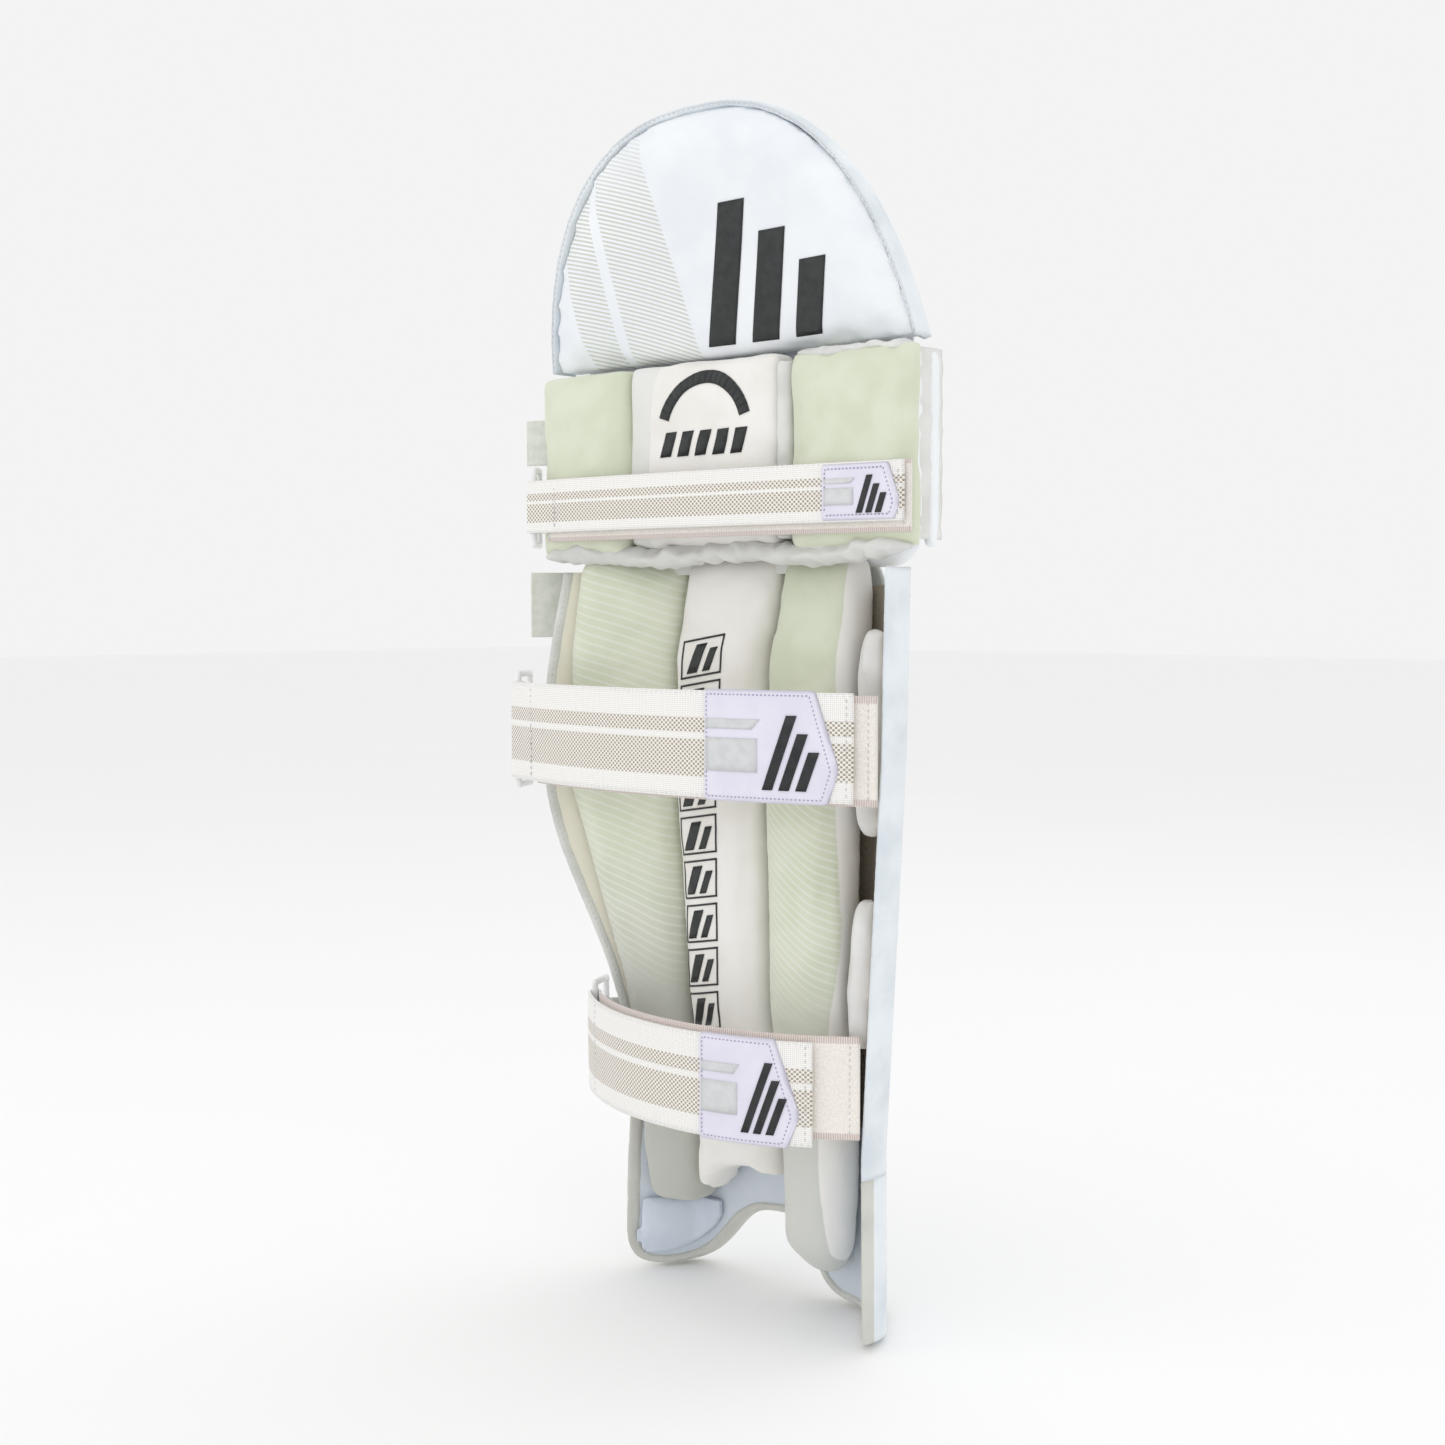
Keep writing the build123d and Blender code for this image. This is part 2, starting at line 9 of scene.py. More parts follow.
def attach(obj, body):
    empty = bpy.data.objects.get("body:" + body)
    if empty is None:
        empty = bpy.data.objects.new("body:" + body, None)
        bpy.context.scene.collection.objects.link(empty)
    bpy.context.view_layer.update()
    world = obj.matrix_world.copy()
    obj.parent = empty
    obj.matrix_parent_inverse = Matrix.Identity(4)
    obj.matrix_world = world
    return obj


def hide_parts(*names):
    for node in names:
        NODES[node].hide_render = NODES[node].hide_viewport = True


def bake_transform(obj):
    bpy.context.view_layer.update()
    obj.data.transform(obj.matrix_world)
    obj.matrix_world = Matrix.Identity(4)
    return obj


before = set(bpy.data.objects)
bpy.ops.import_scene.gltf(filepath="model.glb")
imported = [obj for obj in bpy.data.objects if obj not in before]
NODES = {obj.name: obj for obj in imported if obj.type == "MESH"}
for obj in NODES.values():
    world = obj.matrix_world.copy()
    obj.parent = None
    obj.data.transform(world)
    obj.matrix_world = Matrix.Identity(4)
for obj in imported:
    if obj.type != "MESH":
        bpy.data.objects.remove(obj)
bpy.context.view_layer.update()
MM = 0.001

# driving dimensions, in millimetres
WALL = 11.0
FLARE = math.radians(37.2)
CORNER_R = 20.0
TURN = math.pi / 2 - FLARE
TANGENT = CORNER_R * math.tan(TURN / 2)
FLAP_T = 15.0
FLAP_LEAN = math.radians(15.6)
FLAP_HALF = 144.7
FLAP_MID_Z = 492.0
FLAP_RISE = 202.0
FLAP_POWER = 2.37
FLAP_FOOT_Z = 556.0
FLAP_RADIUS = 698.0
FLAP_BACK_Y = 11.4
RIM_PINCH = 2.0
SIM_FRAMES = 20


# ---- materials
def lin(r, g, b):
    """shader colour from 0-255 display values"""
    def one(v):
        v = v / 255
        return v / 12.92 if v <= 0.04045 else ((v + 0.055) / 1.055) ** 2.4
    return (one(r), one(g), one(b), 1.0)


class Mat:
    """a small helper that builds one node material; lengths are in millimetres"""

    def __init__(self, name, rough=0.5, spec=0.4, sheen=0.0, coat=0.0):
        self.m = bpy.data.materials.new(name)
        self.m.use_nodes = True
        self.t = self.m.node_tree
        self.b = self.t.nodes["Principled BSDF"]
        for key, val in (("Roughness", rough), ("Specular IOR Level", spec), ("Sheen Weight", sheen),
                         ("Sheen Roughness", 0.45), ("Coat Weight", coat), ("Coat Roughness", 0.3)):
            self.b.inputs[key].default_value = val
        tc = self.node("TexCoord")
        self.vec = self.vmath("SCALE", tc.outputs["Object"], scale=1000.0)
        s = self.node("SeparateXYZ")
        self.t.links.new(self.vec, s.inputs[0])
        self.x, self.y, self.z = s.outputs
        uv = self.node("SeparateXYZ")
        self.t.links.new(tc.outputs["UV"], uv.inputs[0])
        self.u = self.math("MULTIPLY", uv.outputs[0], 1000.0)
        self.v = uv.outputs[1]
        self.normal = None

    def node(self, kind, **kw):
        n = self.t.nodes.new("ShaderNode" + kind)
        for k, v in kw.items():
            setattr(n, k, v)
        return n

    def put(self, sock, val):
        if isinstance(val, bpy.types.NodeSocket):
            self.t.links.new(val, sock)
        else:
            sock.default_value = val

    def vmath(self, op, a, b=None, scale=None):
        n = self.node("VectorMath", operation=op)
        self.put(n.inputs[0], a)
        if b is not None:
            self.put(n.inputs[1], b)
        if scale is not None:
            n.inputs["Scale"].default_value = scale
        return n.outputs[0]

    def math(self, op, a, b=0.0, c=0.0):
        n = self.node("Math", operation=op)
        self.put(n.inputs[0], a)
        self.put(n.inputs[1], b)
        self.put(n.inputs[2], c)
        return n.outputs[0]

    def mul(self, a, b):
        return self.math("MULTIPLY", a, b)

    def add(self, a, b):
        return self.math("ADD", a, b)

    def sub(self, a, b):
        return self.math("SUBTRACT", a, b)

    def step(self, val, lo, hi, out0=0.0, out1=1.0):
        n = self.node("MapRange", interpolation_type="SMOOTHSTEP")
        self.put(n.inputs["Value"], val)
        for k, v in (("From Min", lo), ("From Max", hi), ("To Min", out0), ("To Max", out1)):
            self.put(n.inputs[k], v)
        return n.outputs["Result"]

    def mix(self, f, a, b, blend="MIX"):
        n = self.node("Mix", data_type="RGBA", blend_type=blend)
        self.put(n.inputs[0], f)
        self.put(n.inputs[6], a)
        self.put(n.inputs[7], b)
        return n.outputs[2]

    def stretch(self, sx, sy, sz):
        return self.vmath("MULTIPLY", self.vec, (sx, sy, sz))

    def noise(self, size, detail=2.0, vec=None):
        n = self.node("TexNoise")
        self.put(n.inputs["Vector"], vec if vec is not None else self.vec)
        n.inputs["Scale"].default_value = 1.0 / size
        n.inputs["Detail"].default_value = detail
        return n.outputs["Fac"]

    def cells(self, size):
        n = self.node("TexVoronoi")
        self.put(n.inputs["Vector"], self.vec)
        n.inputs["Scale"].default_value = 1.0 / size
        return n.outputs["Distance"]

    def wave(self, val, pitch):
        return self.math("SINE", self.math("MULTIPLY_ADD", val, 2 * math.pi / pitch, 0.0))

    def bump(self, height, dist, strength=1.0):
        n = self.node("Bump")
        n.inputs["Strength"].default_value = strength
        n.inputs["Distance"].default_value = dist * MM
        self.put(n.inputs["Height"], height)
        if self.normal is not None:
            self.t.links.new(self.normal, n.inputs["Normal"])
        self.normal = n.outputs["Normal"]
        self.t.links.new(self.normal, self.b.inputs["Normal"])

    def colour(self, val):
        self.put(self.b.inputs["Base Color"], val)

    def rough(self, val):
        self.put(self.b.inputs["Roughness"], val)

    def tint(self, base, dark, size=40.0, low=0.35, high=0.7):
        """slow handling marks and dye variation"""
        a = self.step(self.noise(size, 4.0), low, high)
        return self.mix(a, base, dark)


def coated(name, base, dark, rough=0.42, grain=0.9, wrinkle=0.5, spec=0.4, print_fn=None):
    """coated cloth: fine pebble grain, soft wrinkles, faint scuffs"""
    m = Mat(name, rough, spec, 0.05, 0.08)
    col = m.tint(base, dark)
    if print_fn:
        col = print_fn(m, col)
    scuff = m.step(m.noise(3.0, 6.0, m.stretch(1.0, 1.0, 0.35)), 0.62, 0.78)
    col = m.mix(m.mul(scuff, 0.12), col, dark)
    m.colour(col)
    m.rough(m.step(m.noise(22.0, 3.0), 0.2, 0.8, rough - 0.07, rough + 0.12))
    m.bump(m.noise(16.0, 3.0, m.stretch(1.0, 1.0, 0.6)), wrinkle, 0.5)
    m.bump(m.cells(0.75), 0.05 * grain, 0.35)
    m.bump(m.noise(0.35, 1.0), 0.03 * grain, 0.25)
    return m.m


def woven(name, col_fn, pitch=0.9, rough=0.75, sheen=0.25, wrinkle=0.5):
    """plain weave cloth over padding"""
    m = Mat(name, rough, 0.25, sheen)
    a = m.add(m.x, m.mul(m.y, 0.8))
    warp = m.wave(a, pitch)
    weft = m.wave(m.z, pitch)
    over = m.mul(warp, weft)
    col = col_fn(m)
    dark = m.mix(m.step(over, -0.9, 0.6), lin(196, 199, 190), lin(255, 255, 255))
    m.colour(m.mix(0.35, col, dark, "MULTIPLY"))
    m.bump(m.noise(14.0, 3.0, m.stretch(1.0, 1.0, 0.5)), wrinkle, 0.5)
    m.bump(over, 0.10, 0.35)
    m.bump(m.noise(0.5, 2.0), 0.05, 0.3)
    return m.m


GREEN = lin(229, 234, 214)
GREEN_D = lin(219, 225, 202)
CREAM = lin(252, 250, 247)
CREAM_D = lin(244, 241, 236)
GREY = lin(222, 223, 218)
WHITE = lin(243, 246, 249)
WHITE_D = lin(235, 239, 244)


def print_lines(m, slope, curve, x0, pitch, duty):
    dx = m.sub(m.x, x0)
    bend = m.mul(m.mul(dx, dx), curve)
    lean = m.math("MULTIPLY_ADD", dx, slope, bend)
    s = m.wave(m.add(m.z, lean), pitch)
    edge = math.cos(math.pi * duty)
    return m.step(s, edge - 0.18, edge + 0.18)


def left_colour(m):
    base = m.tint(GREEN, GREEN_D, 30.0)
    # the lower part is the cloth's plain grey, painted darker still as painted shade under the top light
    pale = m.mix(m.step(m.z, 150.0, 285.0), lin(198, 199, 192), base)
    light = m.mix(0.35, pale, lin(250, 250, 246))
    lines = m.mul(print_lines(m, 0.30, 0.0012, -80.0, 5.2, 0.30), m.step(m.z, 170.0, 240.0))
    return m.mix(lines, pale, light)


def right_colour(m):
    base = m.tint(GREEN, GREEN_D, 30.0)
    pale = m.mix(m.step(m.z, 120.0, 230.0), GREY, base)
    light = m.mix(0.4, pale, lin(250, 250, 246))
    zone = m.mul(m.step(m.z, 165.0, 215.0), m.step(m.z, 345.0, 335.0))
    lines = m.mul(print_lines(m, 1.0, -0.006, 30.0, 5.0, 0.32), zone)
    col = m.mix(lines, pale, light)
    seam = m.step(m.z, 60.0, 240.0, 60.5, 80.5)
    white = m.step(m.sub(m.x, seam), 0.0, 1.0)
    return m.mix(white, col, CREAM)


def plain_green(m):
    return m.tint(GREEN, GREEN_D, 28.0)


def knee_green(m):
    """green front with white cloth on the top and bottom returns"""
    low = m.step(m.z, 446.5, 445.0)
    top = m.step(m.z, 552.5, 554.0)
    return m.mix(m.math("MAXIMUM", low, top), plain_green(m), lin(238, 238, 236))


def panel_colour(m):
    """cream print panel with a white gusset at its left"""
    ramp = m.math("MULTIPLY_ADD", m.z, 0.07, -82.1)
    edge = m.sub(m.x, ramp)
    return m.mix(m.step(edge, -0.6, 0.6), lin(237, 237, 234), m.tint(CREAM, CREAM_D, 35.0))


def cream_cloth(m):
    return m.tint(CREAM, CREAM_D, 35.0)


def white_cloth(m):
    return m.tint(lin(236, 236, 234), lin(222, 222, 220), 25.0)


def flap_print(m, col):
    """field of fine slanting lines on the left third, crossed by a plain band"""
    lines = print_lines(m, 0.30, 0.0008, -60.0, 2.5, 0.42)
    up = m.sub(m.z, FLAP_FOOT_Z)
    right = m.add(m.x, m.mul(up, 0.17))
    zone = m.mul(m.step(right, -20.0, -22.0), m.step(m.x, -117.0, -115.0))
    lean = m.add(m.x, m.mul(up, 0.075))
    off = m.math("ABSOLUTE", m.add(lean, 77.0))
    band = m.step(off, 3.2, 4.2)
    zone = m.mul(zone, band)
    low = m.add(m.x, m.mul(up, 0.12))
    zone = m.mul(zone, m.step(low, -107.0, -105.0))
    fade = m.step(m.z, 690.0, 640.0, 0.35, 1.0)
    amount = m.mul(m.mul(lines, zone), fade)
    return m.mix(amount, col, lin(206, 208, 198))


PU_WHITE = coated("pu_white", WHITE, WHITE_D)
PU_FLAP = coated("pu_flap", WHITE, WHITE_D, 0.46, 0.9, 0.8, print_fn=flap_print)
PU_BIND = coated("pu_binding_pale", lin(232, 238, 242), lin(214, 222, 228), 0.5, 1.0, 0.9)
PU_GREIGE = coated("pu_binding_greige", lin(212, 212, 206), lin(196, 196, 188), 0.55, 1.2, 0.8)
PU_PIPE = coated("pu_binding_wing", lin(224, 225, 222), lin(206, 208, 204), 0.5, 1.0, 0.7)
PU_EAR = coated("pu_ear_blue", lin(214, 222, 234), lin(202, 211, 224), 0.45, 0.9, 0.9)
PU_SIDE = coated("pu_side_cushion", lin(238, 238, 238), lin(224, 223, 220), 0.4, 0.8, 1.1)
CLOTH_LEFT = woven("cloth_print_left", left_colour)
CLOTH_RIGHT = woven("cloth_print_right", right_colour)
CLOTH_KNEE = woven("cloth_green_knee", knee_green, wrinkle=1.4)
CLOTH_PANEL = woven("cloth_knee_panel", panel_colour, 0.8, 0.7, 0.15, 0.8)
CLOTH_CREAM = woven("cloth_cream", cream_cloth, 0.8, 0.7, 0.15, 0.5)
CLOTH_WHITE = woven("cloth_white_gusset", white_cloth, 0.8, 0.7, 0.2, 1.4)


def make_lining():
    m = Mat("lining_brushed", 0.85, 0.2, 0.5)
    # painted shade: the lining deep in the shell is painted brown as the beige lining in shade; beige from x
    # 98 outward
    shade_brown = m.mix(m.step(m.noise(1.2, 3.0), 0.3, 0.7), lin(176, 166, 150), lin(158, 148, 132))
    beige = m.mix(m.step(m.x, 98.0, 99.0), shade_brown, lin(206, 200, 190))
    cream = m.mix(m.step(m.x, -60.0, -70.0), beige, lin(238, 234, 220))
    ear = m.mix(m.step(m.z, 112.0, 108.0), cream, lin(214, 222, 230))
    m.colour(ear)
    m.bump(m.noise(0.8, 4.0), 0.25, 0.5)
    m.bump(m.noise(18.0, 2.0), 0.8, 0.4)
    return m.m


def make_elastic():
    """white woven elastic with a wide and a narrow checked stripe"""
    m = Mat("elastic_striped", 0.8, 0.2, 0.3)
    v, u = m.v, m.u
    wide = m.mul(m.step(v, 0.19, 0.205), m.step(v, 0.555, 0.54))
    slim = m.mul(m.step(v, 0.60, 0.615), m.step(v, 0.755, 0.74))
    zone = m.math("MAXIMUM", wide, slim)
    check = m.mul(m.wave(u, 3.0), m.wave(m.z, 2.6))
    dots = m.step(check, -0.22, 0.02)
    taupe = m.mix(dots, lin(166, 155, 138), lin(244, 241, 235))
    weave = m.mul(m.wave(m.add(u, m.z), 2.2), m.wave(m.sub(u, m.z), 2.2))
    white = m.mix(m.step(weave, -0.8, 0.1), lin(222, 220, 214), lin(251, 250, 248))
    m.colour(m.mix(zone, white, taupe))
    m.bump(weave, 0.16, 0.55)
    m.bump(check, 0.12, 0.4)
    edge = m.math("ABSOLUTE", m.sub(v, 0.5))
    m.bump(m.mul(m.step(edge, 0.44, 0.47), m.wave(u, 1.6)), 0.2, 0.6)
    return m.m


def make_band():
    """cream loop webbing with a ribbed selvedge"""
    m = Mat("webbing_cream", 0.9, 0.15, 0.6)
    fuzz = m.noise(0.9, 4.0)
    base = m.mix(m.step(fuzz, 0.35, 0.65), lin(244, 240, 233), lin(232, 226, 218))
    edge = m.math("ABSOLUTE", m.sub(m.v, 0.5))
    pink = m.step(edge, 0.425, 0.44)
    ribs = m.step(m.wave(m.u, 1.3), -0.4, 0.5)
    rim = m.mix(ribs, lin(208, 192, 186), lin(236, 226, 220))
    m.colour(m.mix(pink, base, rim))
    m.bump(fuzz, 0.25, 0.6)
    m.bump(m.mul(pink, m.wave(m.u, 1.3)), 0.25, 0.6)
    return m.m


def make_badge():
    m = Mat("badge_lilac", 0.38, 0.45, 0.0, 0.15)
    base = m.mix(m.step(m.noise(20.0, 3.0), 0.3, 0.7), lin(231, 228, 242), lin(225, 222, 237))
    m.colour(base)
    m.bump(m.cells(0.6), 0.04, 0.3)
    m.bump(m.noise(9.0, 2.0), 0.25, 0.3)
    return m.m


def make_plain(name, col, dark, rough, grain=0.5, spec=0.4, coat=0.0):
    m = Mat(name, rough, spec, 0.0, coat)
    m.colour(m.mix(m.step(m.noise(6.0, 4.0), 0.3, 0.75), col, dark))
    m.bump(m.noise(0.6 / grain, 2.0), 0.04, 0.3)
    return m.m


LINING = make_lining()
ELASTIC = make_elastic()
WEBBING = make_band()
BADGE = make_badge()
INLAY = make_plain("badge_inlay_grey", lin(216, 217, 218), lin(204, 206, 207), 0.35)
INK = make_plain("print_black", lin(44, 47, 48), lin(30, 32, 33), 0.4)
PLASTIC = make_plain("ring_moulded", lin(244, 244, 245), lin(236, 236, 238), 0.28, 0.6, 0.5, 0.2)
THREAD = make_plain("thread_pale", lin(214, 212, 214), lin(196, 194, 196), 0.6, 2.0)
THREAD_L = make_plain("thread_lilac", lin(176, 170, 196), lin(158, 152, 178), 0.6, 2.0)
TAB = make_plain("tab_webbing", lin(222, 224, 216), lin(206, 209, 198), 0.8, 2.0)
HOOK = make_plain("hook_tape", lin(232, 230, 226), lin(214, 212, 208), 0.7, 3.0)
FOAM = make_plain("foam_core", lin(238, 232, 205), lin(224, 217, 188), 0.85, 0.8, 0.1)
CANE = make_plain("cane_rods", lin(206, 178, 120), lin(182, 150, 96), 0.5, 0.7)


# ---- mesh tools
def add_object(name, data):
    ob = bpy.data.objects.new(name, data)
    bpy.context.collection.objects.link(ob)
    return ob


def shade_smooth(me):
    me.polygons.foreach_set("use_smooth", [True] * len(me.polygons))


def new_object(name, verts, faces, mat, uvs=None):
    """smooth mesh from points in millimetres"""
    me = bpy.data.meshes.new(name)
    me.from_pydata([(x * MM, y * MM, z * MM) for x, y, z in verts], [], faces)
    me.materials.append(mat)
    if uvs is not None:
        layer = me.uv_layers.new(name="UVMap")
        for loop in me.loops:
            layer.data[loop.index].uv = uvs[loop.vertex_index]
    shade_smooth(me)
    me.update()
    return add_object(name, me)


def closed_tube(name, verts, n, mat, uvs=None, outward=True):
    """skin over rings of n points each, capped at both ends"""
    rings = len(verts) // n
    faces = []
    for i in range(rings - 1):
        for j in range(n):
            a, b = i * n + j, i * n + (j + 1) % n
            faces.append((a, a + n, b + n, b))
    faces.append(tuple(range(n)))
    faces.append(tuple((rings - 1) * n + j for j in reversed(range(n))))
    ob = new_object(name, verts, faces, mat, uvs)
    if outward:
        bm = bmesh.new()
        bm.from_mesh(ob.data)
        bmesh.ops.recalc_face_normals(bm, faces=bm.faces)
        bm.to_mesh(ob.data)
        bm.free()
    return ob


def grid_faces(rows, cols):
    """quads of a grid of rows by cols cells, its points numbered row by row"""
    step = cols + 1
    corners = ((0, 0), (0, 1), (1, 1), (1, 0))
    return [tuple((i + a) * step + k + b for a, b in corners) for i in range(rows) for k in range(cols)]


def flipped(quad):
    """the same quad seen from its other side"""
    return quad[:1] + quad[:0:-1]


def thicken(ob, thickness):
    """a single-sided sheet becomes a thin solid about its own middle"""
    s = ob.modifiers.new("thick", "SOLIDIFY")
    s.thickness = thickness * MM
    s.offset = 0.0
    return freeze(ob)


def skin(ob, mat):
    ob.data.materials.clear()
    ob.data.materials.append(mat)


def vectors(items, key):
    a = np.empty(len(items) * 3)
    items.foreach_get(key, a)
    return a.reshape(-1, 3)


def coords(ob):
    return vectors(ob.data.vertices, "co")


def set_coords(ob, a):
    ob.data.vertices.foreach_set("co", np.ascontiguousarray(a).ravel())
    ob.data.update()


def normals(ob):
    return vectors(ob.data.vertex_normals, "vector")


def freeze(ob):
    """keep the evaluated mesh and drop every modifier"""
    dg = bpy.context.evaluated_depsgraph_get()
    me = bpy.data.meshes.new_from_object(ob.evaluated_get(dg))
    old = ob.data
    ob.modifiers.clear()
    ob.data = me
    bpy.data.meshes.remove(old)
    return ob


def copy_nodes(name, nodes, mat, voxel, smooth):
    """one closed remeshed skin round the given CAD solids"""
    bm = bmesh.new()
    for n in nodes:
        bm.from_mesh(NODES[n].data)
    me = bpy.data.meshes.new(name)
    bm.to_mesh(me)
    bm.free()
    me.materials.clear()
    me.materials.append(mat)
    ob = add_object(name, me)
    r = ob.modifiers.new("remesh", "REMESH")
    r.mode = "VOXEL"
    r.voxel_size = voxel * MM
    r.use_smooth_shade = True
    s = ob.modifiers.new("smooth", "SMOOTH")
    s.iterations = smooth
    s.factor = 0.5
    freeze(ob)
    skin(ob, mat)
    return ob


def subdivide(ob):
    s = ob.modifiers.new("sub", "SUBSURF")
    s.levels = s.render_levels = 1
    freeze(ob)
    shade_smooth(ob.data)


def sculpt(ob, fn):
    """move each point along its normal by fn(point, normal), in millimetres"""
    co, no = coords(ob), normals(ob)
    out = co.copy()
    for i in range(len(co)):
        out[i] = co[i] + no[i] * (fn(co[i] / MM, no[i]) * MM)
    set_coords(ob, out)


CLOTH = dict(quality=4, mass=0.3, tension_stiffness=12, compression_stiffness=6, shear_stiffness=4,
             bending_stiffness=0.4, use_pressure=True)


def swell(items):
    """run every padded piece through one cloth simulation with air pressure"""
    starts, rest = {}, {}
    for ob, pressure, cap in items:
        starts[ob.name] = coords(ob)
        rest[ob.name] = normals(ob)
        c = ob.modifiers.new("cloth", "CLOTH")
        for key, val in CLOTH.items():
            setattr(c.settings, key, val)
        c.settings.uniform_pressure_force = pressure
        c.settings.effector_weights.gravity = 0.0
        c.point_cache.frame_start = 1
        c.point_cache.frame_end = SIM_FRAMES
        c.collision_settings.use_collision = False
    scene = bpy.context.scene
    scene.frame_start, scene.frame_end = 1, SIM_FRAMES
    for f in range(1, SIM_FRAMES + 1):
        scene.frame_set(f)
    for ob, pressure, cap in items:
        dg = bpy.context.evaluated_depsgraph_get()
        ev = ob.evaluated_get(dg).to_mesh()
        d = vectors(ev.vertices, "co") - starts[ob.name]
        d -= d.mean(0)
        # far out along the start normals, much less inward and sideways
        out = (d * rest[ob.name]).sum(1, keepdims=True)
        along = d - rest[ob.name] * out
        top = cap * MM
        out = np.where(out > 0, top * np.tanh(out / top), -0.25 * top * np.tanh(-out / top))
        length = np.linalg.norm(along, axis=1, keepdims=True) + 1e-9
        along = along / length * (0.3 * top) * np.tanh(length / top)
        d = rest[ob.name] * out + along
        ob.evaluated_get(dg).to_mesh_clear()
        ob.modifiers.clear()
        set_coords(ob, starts[ob.name] + d)
    scene.frame_set(1)


def bvh(ob):
    me = ob.data
    return BVHTree.FromPolygons([v.co for v in me.vertices], [p.vertices for p in me.polygons])


def place(ob, body, slot, replaces=(), fill=None):
    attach(ob, body)
    if replaces:
        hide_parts(*replaces)
    return ob


def noise3(x, y, z):
    return noise.noise(Vector((x, y, z)))


# one stitch: place along it, share of its radius, lift
CAPSULE = ((0.0, 0.15, -0.25), (0.18, 0.85, 0.25), (0.5, 1.0, 0.42), (0.82, 0.85, 0.25), (1.0, 0.15, -0.25))


def stitch_run(name, points, outs, mat, length=2.3, gap=1.3, r=0.34):
    """a row of small thread capsules along a line lying on a surface"""
    pts = [Vector(p) for p in points]
    seg = [0.0]
    for a, b in zip(pts, pts[1:]):
        seg.append(seg[-1] + (b - a).length)
    verts, faces = [], []
    pos = gap
    k = 0
    while pos + length < seg[-1]:
        ends = []
        for q in (pos, pos + length):
            while k < len(seg) - 2 and seg[k + 1] < q:
                k += 1
            w = (q - seg[k]) / max(seg[k + 1] - seg[k], 1e-9)
            n = Vector(outs[k]).lerp(Vector(outs[k + 1]), w).normalized()
            ends.append((pts[k].lerp(pts[k + 1], w), n))
        (p0, n0), (p1, _) = ends
        d = (p1 - p0).normalized()
        side = d.cross(n0).normalized()
        base = len(verts)
        for w, s, lift in CAPSULE:
            c = p0.lerp(p1, w) + n0 * (lift * r * 1.4)
            for j in range(6):
                a = math.pi * j / 3
                verts.append(tuple(c + side * (math.cos(a) * r * s) + n0 * (math.sin(a) * r * s)))
        for i in range(4):
            for j in range(6):
                a, b = base + i * 6 + j, base + i * 6 + (j + 1) % 6
                faces.append((a, b, b + 6, a + 6))
        faces.append(tuple(base + j for j in reversed(range(6))))
        faces.append(tuple(base + 24 + j for j in range(6)))
        pos += length + gap
    return new_object(name, verts, faces, mat)


# ---- straps in plan
def circle_through(p, q, r):
    d = 2 * (p[0] * (q[1] - r[1]) + q[0] * (r[1] - p[1]) + r[0] * (p[1] - q[1]))
    pp, qq, rr = (v[0] ** 2 + v[1] ** 2 for v in (p, q, r))
    x = (pp * (q[1] - r[1]) + qq * (r[1] - p[1]) + rr * (p[1] - q[1])) / d
    y = (pp * (r[0] - q[0]) + qq * (p[0] - r[0]) + rr * (q[0] - p[0])) / d
    return x, y, math.hypot(p[0] - x, p[1] - y)


def on_arc(circle, x, out):
    cx, cy, r = circle
    y = cy - math.sqrt((r + out) ** 2 - (x - cx) ** 2)
    return Vector((x, y)), Vector((x - cx, y - cy)).normalized()


def arc_path(circle, x0, x1, out, count):
    return [on_arc(circle, x0 + (x1 - x0) * i / count, out) for i in range(count + 1)]


def ribbon(name, path, z0, z1, thick, mat, rows=12, wob=0.0, seed=0.0):
    """webbing along a plan path: path holds (point, outward normal) pairs"""
    h = thick / 2
    w = z1 - z0
    corner = 0.15 * h / w
    levels = [(0.6 * h + (w - 1.2 * h) * i / rows) / w for i in range(rows + 1)]
    prof = [(h * 0.55, corner)] + [(h, v) for v in levels]
    prof += [(h * 0.55, 1.0 - corner), (0.0, 1.0), (-h * 0.55, 1.0 - corner)]
    prof += [(-h, v) for v in reversed(levels)]
    prof += [(-h * 0.55, corner), (0.0, 0.0)]
    verts, uvs = [], []
    run = 0.0
    for i, (p, o) in enumerate(path):
        if i:
            run += (p - path[i - 1][0]).length
        for off, v in prof:
            k = wob * noise3(run * 0.03 + seed, v * 2.0, seed)
            q = p + o * (off + k)
            verts.append((q.x, q.y, z0 + v * w))
            uvs.append((run * MM, v))
    return closed_tube(name, verts, len(prof), mat, uvs)


def eye_path(centre, u, r, inner):
    """round an upright bar: from the inner tail, round the back, to the outer run"""
    t = Vector((-u.y, u.x))
    path = []
    for i in range(6):
        path.append((centre - u * r + t * (inner * (1 - i / 5) + 0.01), -u))
    for i in range(1, 16):
        a = math.pi * i / 16
        o = -u * math.cos(a) - t * math.sin(a)
        path.append((centre + o * r, o))
    return path


STEP = 4.0         # the strap's middle stands this far outside the base band's arc
EYE = 3.175        # radius of the strap's loop round its ring
BADGE_T = 2.4
